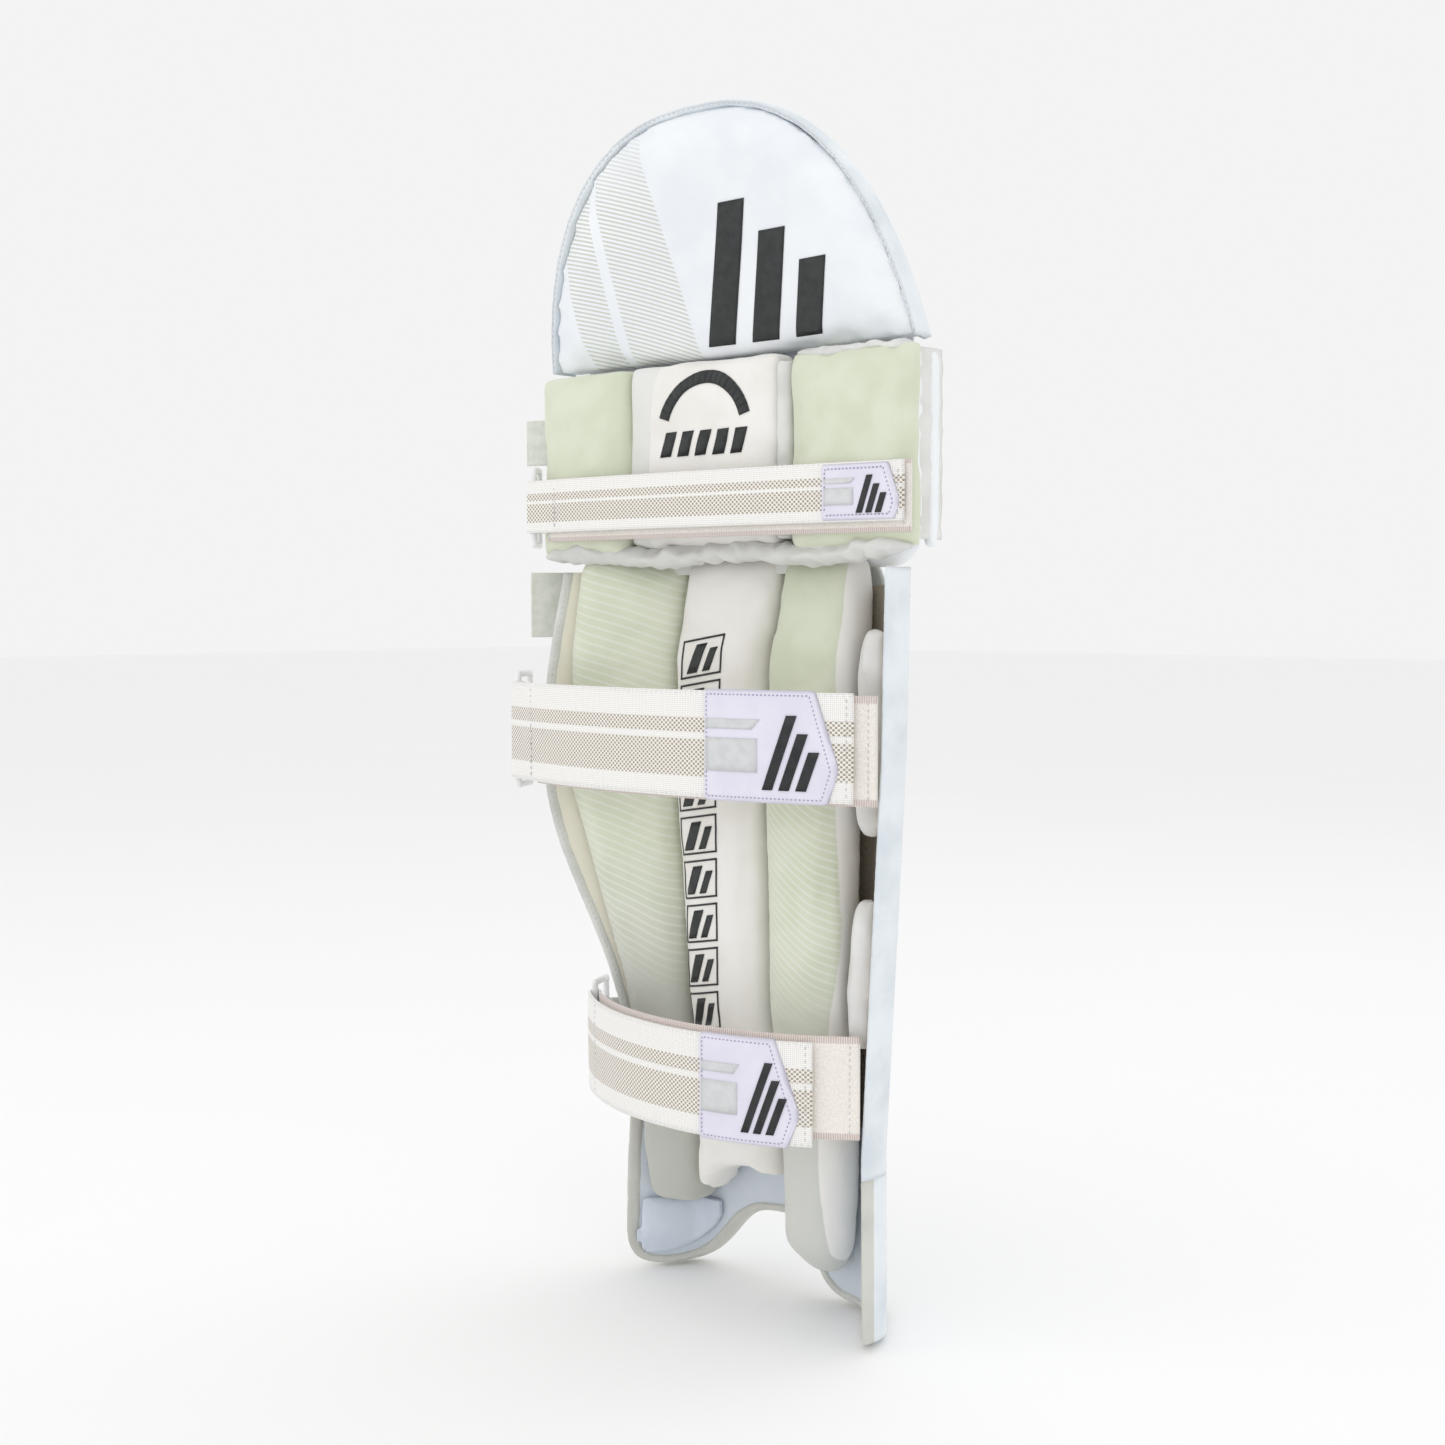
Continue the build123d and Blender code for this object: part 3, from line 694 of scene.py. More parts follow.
# z, w: strap's middle height and width; bz, bw: the same of its base band; bh: badge height
LAYOUT = {
    "knee": dict(body="knee", circle=circle_through((145.0, -13.4), (0.0, -19.5), (-141.7, -15.5)),
                 front=(-150.5, -3.8), x_rear=-141.7, z=474.0, w=32.0, bz=471.5, bw=38.0,
                 band=(-128.0, 145.0), tip=143.0, badge=(92.0, 141.0), clip=5.0, bh=30.0),
    "calf": dict(body="shin", circle=circle_through((129.5, -21.5), (15.0, -52.0), (-137.5, -33.0)),
                 front=(-145.256, -17.300), x_rear=-137.5, z=338.0, w=59.0, bz=336.5, bw=59.0,
                 band=(-112.0, 129.5), tip=120.0, badge=(36.0, 113.0), clip=9.0, bh=61.0),
    "ankle": dict(body="shin", circle=circle_through((111.0, -11.5), (25.0, -46.0), (-103.0, -2.0)),
                  front=(-110.856, 14.263), x_rear=-103.0, z=148.0, w=58.0, bz=151.5, bw=57.0,
                  band=(-82.0, 111.0), tip=92.0, badge=(29.0, 86.0), clip=9.0, bh=60.0),
}


def badge_piece(name, circle, x0, x1, z, h, clip, base):
    """moulded patch: rounded rim with a groove inside it, clipped right-hand corners"""
    nx, nz = 46, 30
    rim = 1.1

    def limit(x):
        """upper and lower edge: the right end comes to a low point"""
        d = x1 - x
        high = h / 2 - max(0.0, 1.35 * clip - d) / (1.35 * clip) * 0.66 * h
        low = -h / 2 + max(0.0, 0.6 * clip - d) / (0.6 * clip) * 0.28 * h
        r = max(0.0, 1.2 - (x - x0))
        cut = 1.2 - math.sqrt(max(0.0, 1.44 - r * r))
        return high - cut, low + cut

    verts, uvs = [], []
    for front in (True, False):
        for i in range(nx + 1):
            x = x0 + (x1 - x0) * i / nx
            high, low = limit(x)
            for j in range(nz + 1):
                v = low + (high - low) * j / nz
                lift = 0.02
                if front:
                    edge = min(high - v, v - low, x - x0, x1 - x)
                    groove = -0.35 * math.exp(-((edge - 2.6) / 0.7) ** 2)
                    lift = BADGE_T * min(1.0, math.sqrt(max(0.0, edge) / rim)) + groove
                p, o = on_arc(circle, x, base + lift)
                verts.append((p.x, p.y, z + v))
                uvs.append((x * MM, v / h + 0.5))
    count = (nx + 1) * (nz + 1)
    row = nz + 1
    faces = []
    for quad in grid_faces(nx, nz):
        faces += [flipped(quad), tuple(count + k for k in quad)]
    for i in range(nx):
        a = i * row
        b = a + nz
        faces.append((a, count + a, count + a + row, a + row))
        faces.append((b, b + row, count + b + row, count + b))
    for j in range(nz):
        e = nx * row + j
        faces.append((j, j + 1, count + j + 1, count + j))
        faces.append((e, count + e, count + e + 1, e + 1))
    return new_object(name, verts, faces, BADGE, uvs)


def quad_patch(fn, corners, n, m):
    """points of an n by m grid over a plan patch; fn maps (u, v) to a 3-D point"""
    a, b, c, d = (Vector(p) for p in corners)
    rows = [(a.lerp(b, i / n), d.lerp(c, i / n)) for i in range(n + 1)]
    return [fn(*low.lerp(high, j / m)) for low, high in rows for j in range(m + 1)]


def decal(name, fn, patches, mat, thick, n=8, m=4):
    """thin raised print made of four-cornered patches laid on a surface"""
    verts, faces = [], []
    for corners in patches:
        base = len(verts)
        verts += quad_patch(fn, corners, n, m)
        faces += [tuple(base + k for k in flipped(quad)) for quad in grid_faces(n, m)]
    ob = new_object(name, verts, faces, mat)
    return thicken(ob, thick)


def slant_mark(x, z, w, h):
    """generic mark: three slanting bars, each shorter than the last"""
    out = []
    for k in range(3):
        a = x + k * w * 0.36
        top = h * (1 - 0.24 * k)
        lean = top * 0.34
        out.append(((a, z), (a + w * 0.22, z), (a + w * 0.22 + lean, z + top), (a + lean, z + top)))
    return out


def upright_stitches(name, circle, x, out, z0, width, body, slot):
    """a row of stitches across a band"""
    count = 20
    p, o = on_arc(circle, x, out)
    pts = [(p.x, p.y, z0 + 2 + (width - 4) * i / (count - 1)) for i in range(count)]
    place(stitch_run(name, pts, [(o.x, o.y, 0.0)] * count, THREAD), body, slot)


def make_badge_set(name, s, body):
    """badge with grey inlays, a generic mark and a row of stitches round its rim"""
    circle, h, zc, clip = s["circle"], s["bh"], s["z"], s["clip"]
    x0, x1 = s["badge"]
    base = STEP + 0.9
    length = x1 - x0
    patch = badge_piece(name + "_badge_patch", circle, x0, x1, zc, h, clip, base)
    place(patch, body, "badge", [name + "_badge"])

    def on_badge(x, z):
        p, o = on_arc(circle, x, base + BADGE_T + 0.22)
        return (p.x, p.y, z)

    left = x0 + 2.6
    bars = []
    for low, high, right_low, right_high in ((-0.23, 0.07, 0.44, 0.44), (0.15, 0.24, 0.40, 0.46)):
        bars.append(((left, zc + low * h), (x0 + length * right_low, zc + low * h),
                     (x0 + length * right_high, zc + high * h), (left, zc + high * h)))
    place(decal(name + "_badge_inlay", on_badge, bars, INLAY, 0.5), body, "badge")
    mark = slant_mark(x0 + length * 0.48, zc - 0.38 * h, length * 0.34, 0.66 * h)
    place(decal(name + "_badge_mark", on_badge, mark, INK, 0.7), body, "badge")
    m = 2.7
    bottom, top = zc - h / 2 + m, zc + h / 2 - m
    tour = [(x0 + m, bottom), (x1 - 0.6 * clip - 2.0, bottom), (x1 - m, zc - 0.20 * h),
            (x1 - 1.35 * clip - 2.0, top), (x0 + m, top), (x0 + m, bottom)]
    pts, outs = [], []
    for (ax, az), (bx, bz) in zip(tour, tour[1:]):
        for i in range(12):
            p, o = on_arc(circle, ax + (bx - ax) * i / 12, base + BADGE_T - 0.25)
            pts.append((p.x, p.y, az + (bz - az) * i / 12))
            outs.append((o.x, o.y, 0.0))
    pts.append(pts[0])
    outs.append(outs[0])
    place(stitch_run(name + "_badge_stitch", pts, outs, THREAD_L, 1.5, 0.9, 0.42), body, "badge")


def make_strap(name, s):
    """closing strap looped on its ring, the base band under it, hook tape, badge and stitches"""
    circle = s["circle"]
    body = name + "_strap_body"
    rear, u = on_arc(circle, s["x_rear"], STEP - EYE)
    z0, z1 = s["z"] - s["w"] / 2, s["z"] + s["w"] / 2
    path = eye_path(rear, u, EYE, 13.0)
    path += arc_path(circle, rear.x + u.x * EYE, s["tip"], STEP, 110)
    strap = ribbon(name + "_elastic_strap", path, z0, z1, 1.8, ELASTIC, 16, 0.5, len(name))
    place(strap, body, "elastic", [name + "_strap"])
    b0, b1 = s["bz"] - s["bw"] / 2, s["bz"] + s["bw"] / 2
    band_path = arc_path(circle, s["band"][0], s["band"][1], 0.0, 90)
    band = ribbon(name + "_loop_band", band_path, b0, b1, 1.6, WEBBING, 14, 0.4, 3.0)
    place(band, s["body"], "webbing", [name + "_base_band"])
    hook_path = arc_path(circle, s["badge"][0] + 4, s["badge"][1] - 4, 2.1, 30)
    hook = ribbon(name + "_hook_tape", hook_path, z0 + 3, z1 - 3, 1.7, HOOK, 8)
    place(hook, body, "hook", [name + "_hook"])
    make_badge_set(name, s, body)
    for tag, x in (("left", s["x_rear"] + 24.0), ("tip", s["tip"] - 3.0)):
        upright_stitches(name + "_strap_stitch_" + tag, circle, x, STEP + 0.92, z0, s["w"], body, "elastic")
    x = s["band"][1] - 4.0
    upright_stitches(name + "_band_stitch", circle, x, 0.82, b0, s["bw"], s["body"], "webbing")
    skin(NODES[name + "_ring"], PLASTIC)


for name, strap in LAYOUT.items():
    make_strap(name, strap)

# anchor webbing and side tabs keep their CAD shape with a rounded, woven skin
for name in ("knee_anchor", "calf_anchor", "ankle_anchor", "knee_tab", "shin_tab"):
    ob = copy_nodes(name + "_webbing", [name], TAB, 0.7, 2)
    place(ob, "knee" if name.startswith("knee") else "shin", "webbing", [name])

# ---- padded pieces
PADS = {
    # name: CAD nodes, body, material, slot, voxel, smoothing, pressure, cap, fill
    "flap_pad": (["flap_back_cover", "flap_foam_core", "flap_front_cover"], "top_flap", PU_FLAP,
                 "cover_white", 4.0, 2, 4.0, 5.0, 0.5),
    "cushion_knee_left": (["knee_cushion_left"], "knee", CLOTH_KNEE, "cushion_green", 4.0, 4, 4.0, 5.0, 0.7),
    "cushion_knee_centre": (["knee_cushion_centre"], "knee", CLOTH_PANEL,
                            "cushion_cream", 4.5, 4, 3.0, 2.5, 0.6),
    "cushion_knee_right": (["knee_cushion_right"], "knee", CLOTH_KNEE,
                           "cushion_green", 4.0, 4, 4.0, 5.0, 0.7),
    **{"roll_" + k: (["knee_roll_" + k], "knee", PU_WHITE, "rib_cover", 4.5, 2, 3.0, 1.5, 0.9)
       for k in ("lower", "middle", "upper")},
    **{"side_cover_" + k: (["knee_side_" + k], "knee", PU_WHITE, "rib_cover", 2.2, 3, 3.0, 1.2, 0.5)
       for k in ("left", "right")},
    "bolster_pad_left": (["bolster_left"], "shin", CLOTH_LEFT, "cushion_green", 4.5, 4, 4.0, 4.0, 0.8),
    "bolster_pad_centre": (["bolster_centre"], "shin", CLOTH_CREAM, "cushion_cream", 4.5, 4, 4.0, 4.0, 0.8),
    "bolster_pad_right": (["bolster_right"], "shin", CLOTH_RIGHT, "cushion_green", 4.5, 4, 4.0, 4.0, 0.8),
    "ear_pad": (["ear_pad_left"], "shin", PU_EAR, "cushion_cream", 1.8, 3, 3.0, 2.0, 0.6),
    **{"side_pad_" + k: (["side_cushion_" + k], "shin", PU_SIDE, "cushion_cream", 3.5, 3, 4.0, 3.0, 0.7)
       for k in ("upper", "lower")},
    "rib_pad": (["face_ribs"], "shin", PU_WHITE, "rib_cover", 2.4, 1, 3.0, 0.8, 0.9),
}
made, jobs = {}, []
for name, (nodes, body, mat, slot, voxel, relax, pressure, cap, fill) in PADS.items():
    ob = copy_nodes(name, nodes, mat, voxel, relax)
    if name.startswith("bolster"):
        # the top is drawn up to the knee section and thinned towards it
        co = coords(ob) / MM
        co[:, 2] += 12.5 * np.clip((co[:, 2] - 400) / 30, 0, None)
        if name == "bolster_pad_right":
            co[:, 2] -= 7.0 * np.clip((70 - co[:, 2]) / 40, 0, 1)
        co[:, 1] = np.where(co[:, 2] > 424, np.minimum(co[:, 1], 33 - (co[:, 2] - 424) * 0.45), co[:, 1])
        set_coords(ob, co * MM)
    made[name] = ob
    jobs.append((ob, pressure, cap))
swell(jobs)


def soft_noise(p, size, seed=0.0):
    return noise3(p[0] / size + seed, p[1] / size, p[2] / size)


def flap_shape(p, n):
    share = max(0.0, p[2] - FLAP_MID_Z) / FLAP_RISE
    half = FLAP_HALF * max(0.0, 1 - share ** FLAP_POWER) ** (1 / FLAP_POWER)
    rim = max(0.0, half - abs(p[0]))
    pucker = math.exp(-rim / 12.0) * 0.5 * noise3(p[0] / 9.0, 0.0, p[2] / 9.0)
    return 0.8 * soft_noise(p, 60.0, 2.0) + pucker - RIM_PINCH * math.exp(-(rim / 9.0) ** 2)


def knee_shape(p, n):
    fold = math.sin((p[0] * 0.8 + p[2]) / 7.0 + 2.5 * soft_noise(p, 30.0)) * 0.45
    return fold * (0.4 + soft_noise(p, 25.0, 5.0)) + 0.8 * soft_noise(p, 18.0, 1.0)


def bolster_shape(p, n):
    return 0.5 * soft_noise(p, 45.0, 4.0) + 0.35 * soft_noise((p[0], p[1], p[2] * 2.0), 16.0, 9.0)


def side_shape(p, n):
    return 1.1 * soft_noise(p, 16.0, 7.0)


def roll_shape(p, n):
    seam = abs(math.atan2(n[2], -n[1]))
    pinch = math.exp(-(seam / 0.35) ** 2) * noise3(p[0] / 4.0, 0, p[2] / 50.0) * 1.2
    return 0.5 * soft_noise(p, 30.0) + pinch


SHAPES = {"flap": flap_shape, "cushion": knee_shape, "side": side_shape, "roll": roll_shape}
for name, ob in made.items():
    nodes, body, _, slot, *_, fill = PADS[name]
    if name != "rib_pad":
        subdivide(ob)
    shape = SHAPES.get(name.split("_")[0], bolster_shape)
    sculpt(ob, shape)
    if name.startswith("bolster"):
        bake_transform(ob)
        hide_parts(*nodes)
    else:
        place(ob, body, slot, nodes, fill)

# ---- the shin wall and its edge
def base_y(z):
    return 54.0 - z * 20.0 / 440.0


def corner_x(z):
    return float(np.interp(z, (-6.0, 110.0, 330.0, 445.0), (64.5, 67.5, 87.5, 94.0)))


def shell_point(x, t, z):
    """point of the wall that shows at (x, z) from the front, t outward from its inner face"""
    side = -1 if x < 0 else 1
    ax = abs(x)
    flat = corner_x(z) - TANGENT
    r = CORNER_R + t
    # flat back, rounded corner, then the flared wing
    if ax <= flat:
        y = base_y(z) + t
    elif ax <= flat + r * math.sin(TURN):
        y = base_y(z) - CORNER_R + math.sqrt(r * r - (ax - flat) ** 2)
    else:
        s = (ax - corner_x(z) - t * math.cos(FLARE)) / math.sin(FLARE)
        y = base_y(z) - s * math.cos(FLARE) + t * math.sin(FLARE)
    return Vector((side * ax, y, z))


def cast(tree, start, direction):
    hit, no, i, d = tree.ray_cast(Vector(start) * MM, Vector(direction))
    return None if hit is None else hit / MM


EDGE_Z = (42.0, 116.0, 190.0, 292.0, 362.0, 436.0)
EDGE_X = {-1: (94.0, 92.5, 103.0, 128.6, 131.3, 125.0), 1: (109.0, 110.5, 120.0, 127.5, 131.5, 133.0)}


def shell_outline():
    """front outline of the shin part's edge, read off the frame's binding"""
    bm = bmesh.new()
    for n in ("wing_binding", "ear_binding"):
        bm.from_mesh(NODES[n].data)
    tree = BVHTree.FromBMesh(bm)
    bm.free()
    rows = []
    for side in (-1, 1):
        row = []
        for i in range(107):
            z = 434.0 - i * 4.0
            y = shell_point(side * float(np.interp(z, EDGE_Z, EDGE_X[side])), WALL / 2, z).y
            hit = cast(tree, (side * 200, y, z), (-side, 0, 0))
            if hit is not None:
                row.append((hit.x, z))
        rows.append(row)
    left, right = rows
    floor = []
    x = left[-1][0] + 1.0
    while x < right[-1][0] - 1.0:
        hit = cast(tree, (x, shell_point(x, WALL / 2, 20.0).y, -20.0), (0, 0, 1))
        if hit is not None and (abs(x) < 85.0 or hit.z < 12.0):
            floor.append((x, hit.z))
        x += 2.0
    return left + floor + right[::-1]


def smooth_path(pts, step, rounds):
    """even spacing along a polyline, then a light average"""
    dist = [0.0]
    for a, b in zip(pts, pts[1:]):
        dist.append(dist[-1] + math.hypot(b[0] - a[0], b[1] - a[1]))
    n = int(dist[-1] / step)
    s = np.linspace(0, dist[-1], n + 1)
    q = np.interp(s, dist, [p[0] for p in pts])
    z = np.interp(s, dist, [p[1] for p in pts])
    for _ in range(rounds):
        q[1:-1] = (q[:-2] + 2 * q[1:-1] + q[2:]) / 4
        z[1:-1] = (z[:-2] + 2 * z[1:-1] + z[2:]) / 4
    return [(float(a), float(b)) for a, b in zip(q, z)]


def heading(path, i):
    a, b = path[max(0, i - 1)], path[min(len(path) - 1, i + 1)]
    return Vector((b[0] - a[0], b[1] - a[1])).normalized()


def sweep(name, path, place_fn, profile, mat, pucker, seed, wall=WALL, outer=None):
    """profile of (inward distance, thickness place) carried along an edge

    outer is the material of the struck side of the right ear
    """
    verts, uvs = [], []
    n = len(profile)
    run = 0.0
    for i, p in enumerate(path):
        d = heading(path, i)
        inward = Vector((-d.y, d.x))
        if i:
            run += math.hypot(p[0] - path[i - 1][0], p[1] - path[i - 1][1])
        k = 1 + 0.5 * pucker * noise3(run / 4.0, seed, 0)
        w = 1 + pucker * noise3(run / 11.0, seed + 5, 0)
        for j, (inn, t) in enumerate(profile):
            m = (t - wall / 2) * k + wall / 2
            verts.append(tuple(place_fn(p[0] + inward.x * inn * w, m, p[1] + inward.y * inn * w)))
            uvs.append((run * MM, j / n))
    ob = closed_tube(name, verts, n, mat, uvs)
    if outer is not None:
        ob.data.materials.append(outer)
        for i in range(len(path) - 1):
            for j in range(n):
                mid = (profile[j][1] + profile[(j + 1) % n][1]) / 2
                if path[i][0] > 80.0 and mid > 0.42 * wall:
                    ob.data.polygons[i * n + j].material_index = 1
    return ob


def fold_profile(lip_in, lip_out, stand, wall):
    """webbing folded over an edge: inner lip, round nose, outer lip"""
    half = wall / 2
    pts = [(lip_in, 0.3), (lip_in, -0.45 * stand), (lip_in - 0.7, -0.95 * stand)]
    pts += [(lip_in * 0.55, -1.1 * stand), (2.0, -1.05 * stand)]
    for i in range(1, 10):
        a = math.pi * i / 10
        pts.append((1.6 - 1.75 * math.sin(a), half - (half + stand) * math.cos(a)))
    pts += [(2.0, wall + 1.05 * stand), (lip_out * 0.55, wall + 1.1 * stand)]
    pts += [(lip_out - 0.7, wall + 0.95 * stand), (lip_out, wall + 0.45 * stand), (lip_out, wall - 0.3)]
    return pts


def edge_stitches(name, path, place_fn, inn, t, body, wall=WALL):
    """stitches along a bound edge, standing on the face nearer to t"""
    pts, outs = [], []
    for i, p in enumerate(path):
        d = heading(path, i)
        q, z = p[0] - d.y * inn, p[1] + d.x * inn
        c = place_fn(q, t, z)
        pts.append(tuple(c))
        ahead = (place_fn(q + d.x, t, z + d.y) - c).cross(place_fn(q - d.y, t, z + d.x) - c)
        away = c - place_fn(q, wall / 2, z)
        outs.append(tuple(ahead.normalized() * math.copysign(1.0, ahead.dot(away))))
    place(stitch_run(name, pts, outs, THREAD, 2.4, 1.4, 0.32), body, "binding")


edge = smooth_path(shell_outline(), 3.0, 2)
EAR_TOP_Z = 100.0
cut_l = next(i for i, p in enumerate(edge) if p[1] < EAR_TOP_Z)
cut_r = len(edge) - next(i for i, p in enumerate(edge[::-1]) if p[1] < EAR_TOP_Z)
wing_fold = fold_profile(4.0, 6.0, 1.25, WALL)
for name, part, mat, nodes in (("wing_edge_left", edge[:cut_l + 1], PU_PIPE, ["wing_binding"]),
                               ("wing_edge_right", edge[cut_r - 1:], PU_BIND, [])):
    place(sweep(name, part, shell_point, wing_fold, mat, 0.08, 2.0), "shin", "binding", nodes)
    edge_stitches(name + "_stitch", part, shell_point, 2.9, -1.0, "shin")
    edge_stitches(name + "_stitch_out", part, shell_point, 4.6, WALL + 1.0, "shin")
ear = edge[cut_l:cut_r]
ear_fold = fold_profile(5.2, 6.4, 1.3, WALL)
ear_edge = sweep("ear_edge", ear, shell_point, ear_fold, PU_GREIGE, 0.08, 6.0, outer=PU_BIND)
place(ear_edge, "shin", "binding", ["ear_binding"])
edge_stitches("ear_edge_stitch", ear, shell_point, 4.2, -1.05, "shin")


# ---- the flap's edge
def flap_point(x, t, z):
    """x, z on the front outline; t from the leg-side face outward"""
    drop = FLAP_RADIUS - math.sqrt(max(0.0, (FLAP_RADIUS + t) ** 2 - x * x)) + t
    y = FLAP_BACK_Y + (t - drop) / math.cos(FLAP_LEAN) - (z - FLAP_FOOT_Z) * math.tan(FLAP_LEAN)
    return Vector((x, y, z))


def flap_rim_point(x, t, z):
    """the rim is drawn in from both faces, as stitching pulls it"""
    return flap_point(x, RIM_PINCH + t * (1 - 2 * RIM_PINCH / FLAP_T), z)


flap_edge = []
for i in range(240, -1, -1):
    a = math.pi * i / 240
    x = -FLAP_HALF * math.copysign(abs(math.cos(a)) ** (2 / FLAP_POWER), math.cos(a))
    z = FLAP_MID_Z + FLAP_RISE * math.sin(a) ** (2 / FLAP_POWER)
    if z > FLAP_FOOT_Z + 0.5:
        flap_edge.append((x, z))
flap_edge = smooth_path(flap_edge, 3.0, 1)
flap_fold = fold_profile(3.6, 7.0, 1.2, FLAP_T)
flap_rim = sweep("flap_edge_binding", flap_edge, flap_rim_point, flap_fold, PU_BIND, 0.16, 9.0, FLAP_T)
place(flap_rim, "top_flap", "binding", ["flap_binding"])
edge_stitches("flap_edge_stitch", flap_edge, flap_rim_point, 2.5, -0.95, "top_flap", FLAP_T)
edge_stitches("flap_edge_stitch_out", flap_edge, flap_rim_point, 5.6, FLAP_T + 0.95, "top_flap", FLAP_T)

# ---- cloth gussets of the knee section
def soft_roll(name, x0, x1, y_fn, z_fn, ry, rz, body, amp, seed):
    """puckered roll of white cloth from x0 to x1 with closed round ends"""
    verts = []
    n, m = 130, 14
    for i in range(n + 1):
        s = i / n
        x = x0 + (x1 - x0) * s
        end = max(0.12, min(1.0, math.sqrt(min(s, 1 - s) * 12)))
        for j in range(m):
            a = 2 * math.pi * j / m
            k = 1 + amp * noise3(x / 9.0 + seed, math.cos(a), math.sin(a))
            verts.append((x, y_fn(x) + ry * end * k * math.cos(a), z_fn(x) + rz * end * k * math.sin(a)))
    place(closed_tube(name, verts, m, CLOTH_WHITE, outward=False), body, "lining", (), 0.3)


soft_roll("knee_skirt", -138, 142, lambda x: 0.5 - 0.0005 * x * x,
          lambda x: 443.6 + 1.6 * math.sin(x / 19.0 + 1.0), 9.0, 6.0, "knee", 0.55, 3.0)
soft_roll("knee_top_gusset", 60, 138, lambda x: -3.5, lambda x: 551.4, 6.0, 3.2, "knee", 0.5, 8.0)
gusset = copy_nodes("bolster_gusset", ["knee_gusset"], CLOTH_WHITE, 0.8, 2)
sculpt(gusset, lambda p, n: -2.5)
place(gusset, "shin", "lining", ["knee_gusset"])
for side, x0, y0, y1, seed in (("left", -134.5, 8.0, 21.0, 4.0), ("right", 135.5, -6.0, 21.0, 9.0)):
    verts = []
    rows, cols = 60, 8
    for i in range(rows + 1):
        z = 449.0 + 101.0 * i / rows
        for k in range(cols + 1):
            w = k / cols
            fold = 1.1 * noise3(z / 5.0, w * 1.5, seed)
            x = x0 + math.copysign(3.5 * math.sin(math.pi * w) + 2.0 * w + fold, x0)
            verts.append((x, y0 + (y1 - y0) * w, z))
    end_gusset = new_object("knee_end_gusset_" + side, verts, grid_faces(rows, cols), CLOTH_WHITE)
    place(thicken(end_gusset, 3.0), "knee", "lining", (), 0.3)
ob = copy_nodes("knee_piping_tube", ["knee_piping"], CLOTH_WHITE, 1.6, 4)
sculpt(ob, lambda p, n: 0.4 * noise3(p[0] / 6, p[1] / 6, p[2] / 6))
place(ob, "knee", "cushion_cream", ["knee_piping"])

# ---- cloth across the hinge lines, struck face
def bridge(name, path, half, y_curve):
    """sheet across a hinge line along a (y, z) path, curved across its width"""
    verts = []
    n = 60
    for i in range(n + 1):
        x = -half + 2 * half * i / n
        for k, (y, z) in enumerate(path):
            w = k / (len(path) - 1)
            ripple = 0.3 * noise3(x / 6.0, k * 0.7, 0)
            verts.append((x, y - y_curve(w) * x * x + ripple, z))
    ob = thicken(new_object(name, verts, grid_faces(n, len(path) - 1), PU_WHITE), 1.2)
    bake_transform(ob)


bridge("face_hinge_cloth",
       [(47.2, 414), (47.6, 419), (47.6, 424), (47.0, 429), (45.8, 433), (44.2, 436), (42.0, 438)],
       84.0, lambda w: 0.0010 * w)
bridge("flap_hinge_cloth",
       [(34.0, 546), (32.6, 549), (31.0, 552), (29.6, 555), (28.6, 558), (27.6, 562), (26.2, 567)],
       124.0, lambda w: 0.0011 - 0.0004 * w)

# ---- prints laid on the cushions
def on_surface(ob, lift=0.3):
    """maps a front view place (x, z) to a point just off the leg-side skin"""
    tree = bvh(ob)

    def fn(x, z):
        hit, no, i, d = tree.ray_cast(Vector((x * MM, -0.2, z * MM)), Vector((0, 1, 0)))
        if hit is None:
            return (x, 0.0, z)
        p = hit + no * (lift * MM)
        return tuple(p / MM)
    return fn


flap_fn = on_surface(made["flap_pad"])
flap_mark = decal("flap_mark", flap_fn, slant_mark(-14.0, 563.0, 92.0, 76.0), INK, 0.3, 10, 14)
place(flap_mark, "top_flap", "cover_white")
centre_fn = on_surface(made["bolster_pad_centre"])
blocks, frames = [], []
BLOCK_PITCH, BLOCK_TILT, LINE_HALF = 26.0, 5.0, 0.55
for i in range(9):
    z = 392.0 - i * BLOCK_PITCH
    x_left = float(np.interp(z, (150.0, 184.0, 307.0), (-25.0, -26.5, -32.0)))
    w, h = -1.0 - x_left, BLOCK_PITCH - 4.5

    def at(u, v, z=z, h=h, w=w, x_left=x_left):
        return (x_left + u * w, z - h + v * h + u * BLOCK_TILT)

    blocks += [(at(0.14, 0.10), at(0.40, 0.10), at(0.62, 0.86), at(0.36, 0.86)),
               (at(0.54, 0.10), at(0.72, 0.10), at(0.90, 0.70), at(0.72, 0.70))]
    rim_pts = [at(0, 0), at(1, 0), at(1, 1), at(0, 1)]
    for k in range(4):
        (ax, az), (bx, bz) = rim_pts[k], rim_pts[(k + 1) % 4]
        dx, dz = bx - ax, bz - az
        ln = math.hypot(dx, dz)
        nx, nz = -dz / ln * LINE_HALF, dx / ln * LINE_HALF
        ex, ez = dx / ln * LINE_HALF, dz / ln * LINE_HALF
        frames.append(((ax - ex - nx, az - ez - nz), (bx + ex - nx, bz + ez - nz),
                       (bx + ex + nx, bz + ez + nz), (ax - ex + nx, az - ez + nz)))
place(decal("bolster_blocks", centre_fn, blocks, INK, 0.3, 8, 4), "shin", "cushion_cream")
place(decal("bolster_block_frames", centre_fn, frames, INK, 0.3, 8, 1), "shin", "cushion_cream")
panel_fn = on_surface(made["cushion_knee_centre"])
panel_print = []
cx, cz, r0, r1 = -4.0, 512.0, 28.5, 36.0


def arc_corner(r, i):
    a = math.radians(17 + 146 * i / 18)
    return (cx + r * math.cos(a), cz + r * math.sin(a))


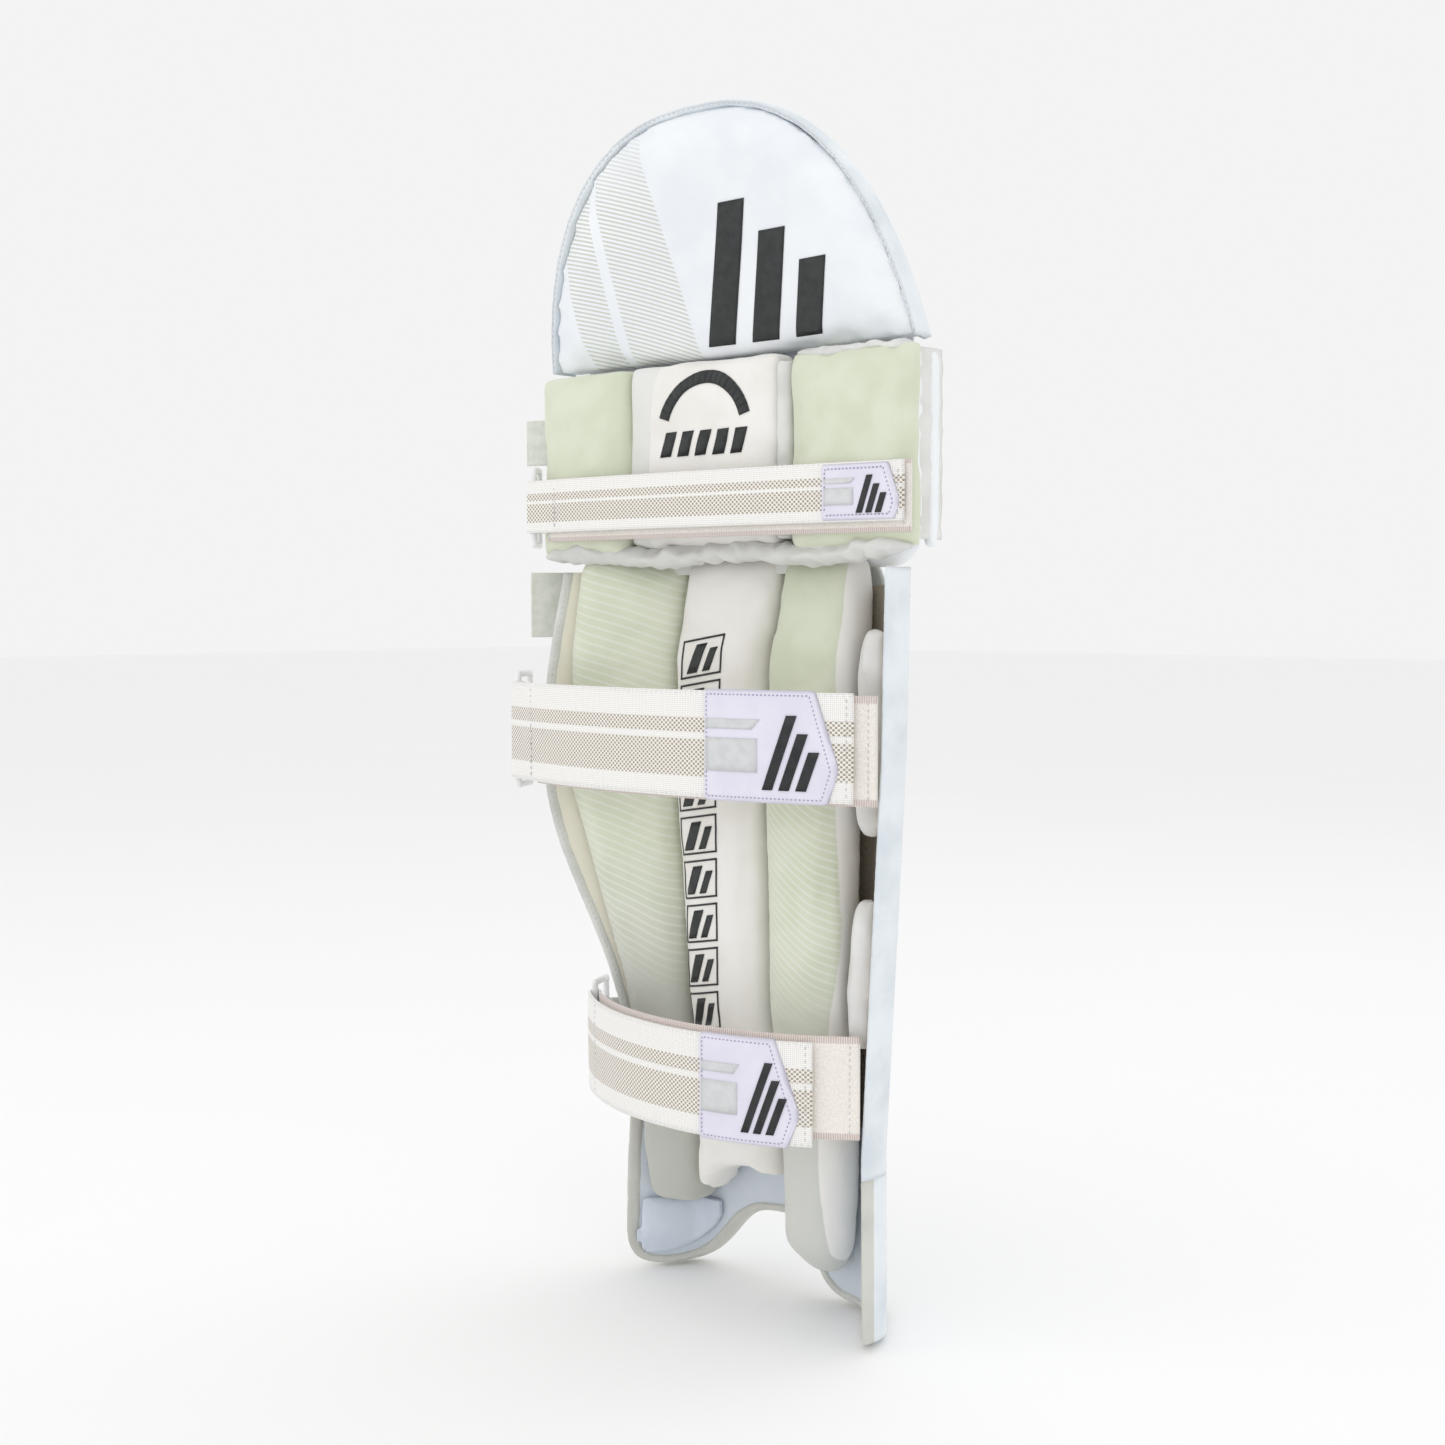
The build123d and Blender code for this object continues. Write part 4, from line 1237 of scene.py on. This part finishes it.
for i in range(18):
    panel_print.append((arc_corner(r0, i), arc_corner(r1, i), arc_corner(r1, i + 1), arc_corner(r0, i + 1)))
for k in range(5):
    x = cx - 34 + k * 13.5
    panel_print.append(((x, 499.5), (x + 8.5, 499.8), (x + 13, 514.0), (x + 4.5, 513.7)))
place(decal("knee_panel_print", panel_fn, panel_print, INK, 0.3, 3, 3), "knee", "cushion_cream")

# ---- CAD nodes that stay in view
for name, mat in (("shin_face", PU_WHITE), ("shin_lining", LINING), ("shin_foam_core", FOAM),
                  ("shin_canes", CANE), ("knee_backing", PU_WHITE)):
    skin(NODES[name], mat)
    shade_smooth(NODES[name].data)

# ---- floor, lights, camera
def make_floor():
    m = Mat("floor_pale", 0.9, 0.1)
    m.colour(m.mix(m.noise(300.0, 2.0), lin(252, 252, 252), lin(250, 250, 250)))
    me = bpy.data.meshes.new("floor")
    k = 14.0
    me.from_pydata([(-k, -k, 0), (k, -k, 0), (k, k, 0), (-k, k, 0)], [], [(0, 1, 2, 3)])
    me.materials.append(m.m)
    ob = add_object("floor", me)
    ob.location.z = -0.0006


make_floor()


def area(name, loc, target, size, power):
    li = bpy.data.lights.new(name, "AREA")
    li.shape = "RECTANGLE"
    li.size, li.size_y = size
    li.energy = power
    ob = add_object(name, li)
    ob.location = loc
    ob.rotation_euler = (Vector(target) - Vector(loc)).to_track_quat("-Z", "Y").to_euler()


area("key_top", (0.1, -1.0, 2.3), (0, 0, 0.4), (1.6, 1.2), 5)
area("fill_left", (-1.5, -1.6, 0.7), (0, 0, 0.3), (1.4, 1.6), 2.6)
area("fill_right", (1.9, -0.9, 0.8), (0, 0, 0.3), (1.2, 1.6), 2.6)
area("back_top", (0.3, 1.6, 2.0), (0, 0, 0.4), (1.6, 1.0), 3)
world = bpy.data.worlds.new("studio")
world.use_nodes = True
backdrop = world.node_tree.nodes["Background"].inputs
backdrop[0].default_value = (1, 1, 1, 1)
backdrop[1].default_value = 0.9
scene = bpy.context.scene
scene.world = world
scene.view_settings.view_transform = "Standard"

AZ, PITCH = math.radians(42.0), math.radians(3.3506)
CAMERA_REACH, CAMERA_HEIGHT = 1.160, 0.414
cam = bpy.data.cameras.new("camera")
cam.lens, cam.sensor_width = 50.0, 36.0
cam.clip_start, cam.clip_end = 0.05, 40.0
cam_ob = add_object("camera", cam)
cam_ob.location = (CAMERA_REACH * math.sin(AZ), -CAMERA_REACH * math.cos(AZ), CAMERA_HEIGHT)
view = Vector((-math.sin(AZ) * math.cos(PITCH), math.cos(AZ) * math.cos(PITCH), -math.sin(PITCH)))
cam_ob.rotation_euler = view.to_track_quat("-Z", "Y").to_euler()
scene.camera = cam_ob
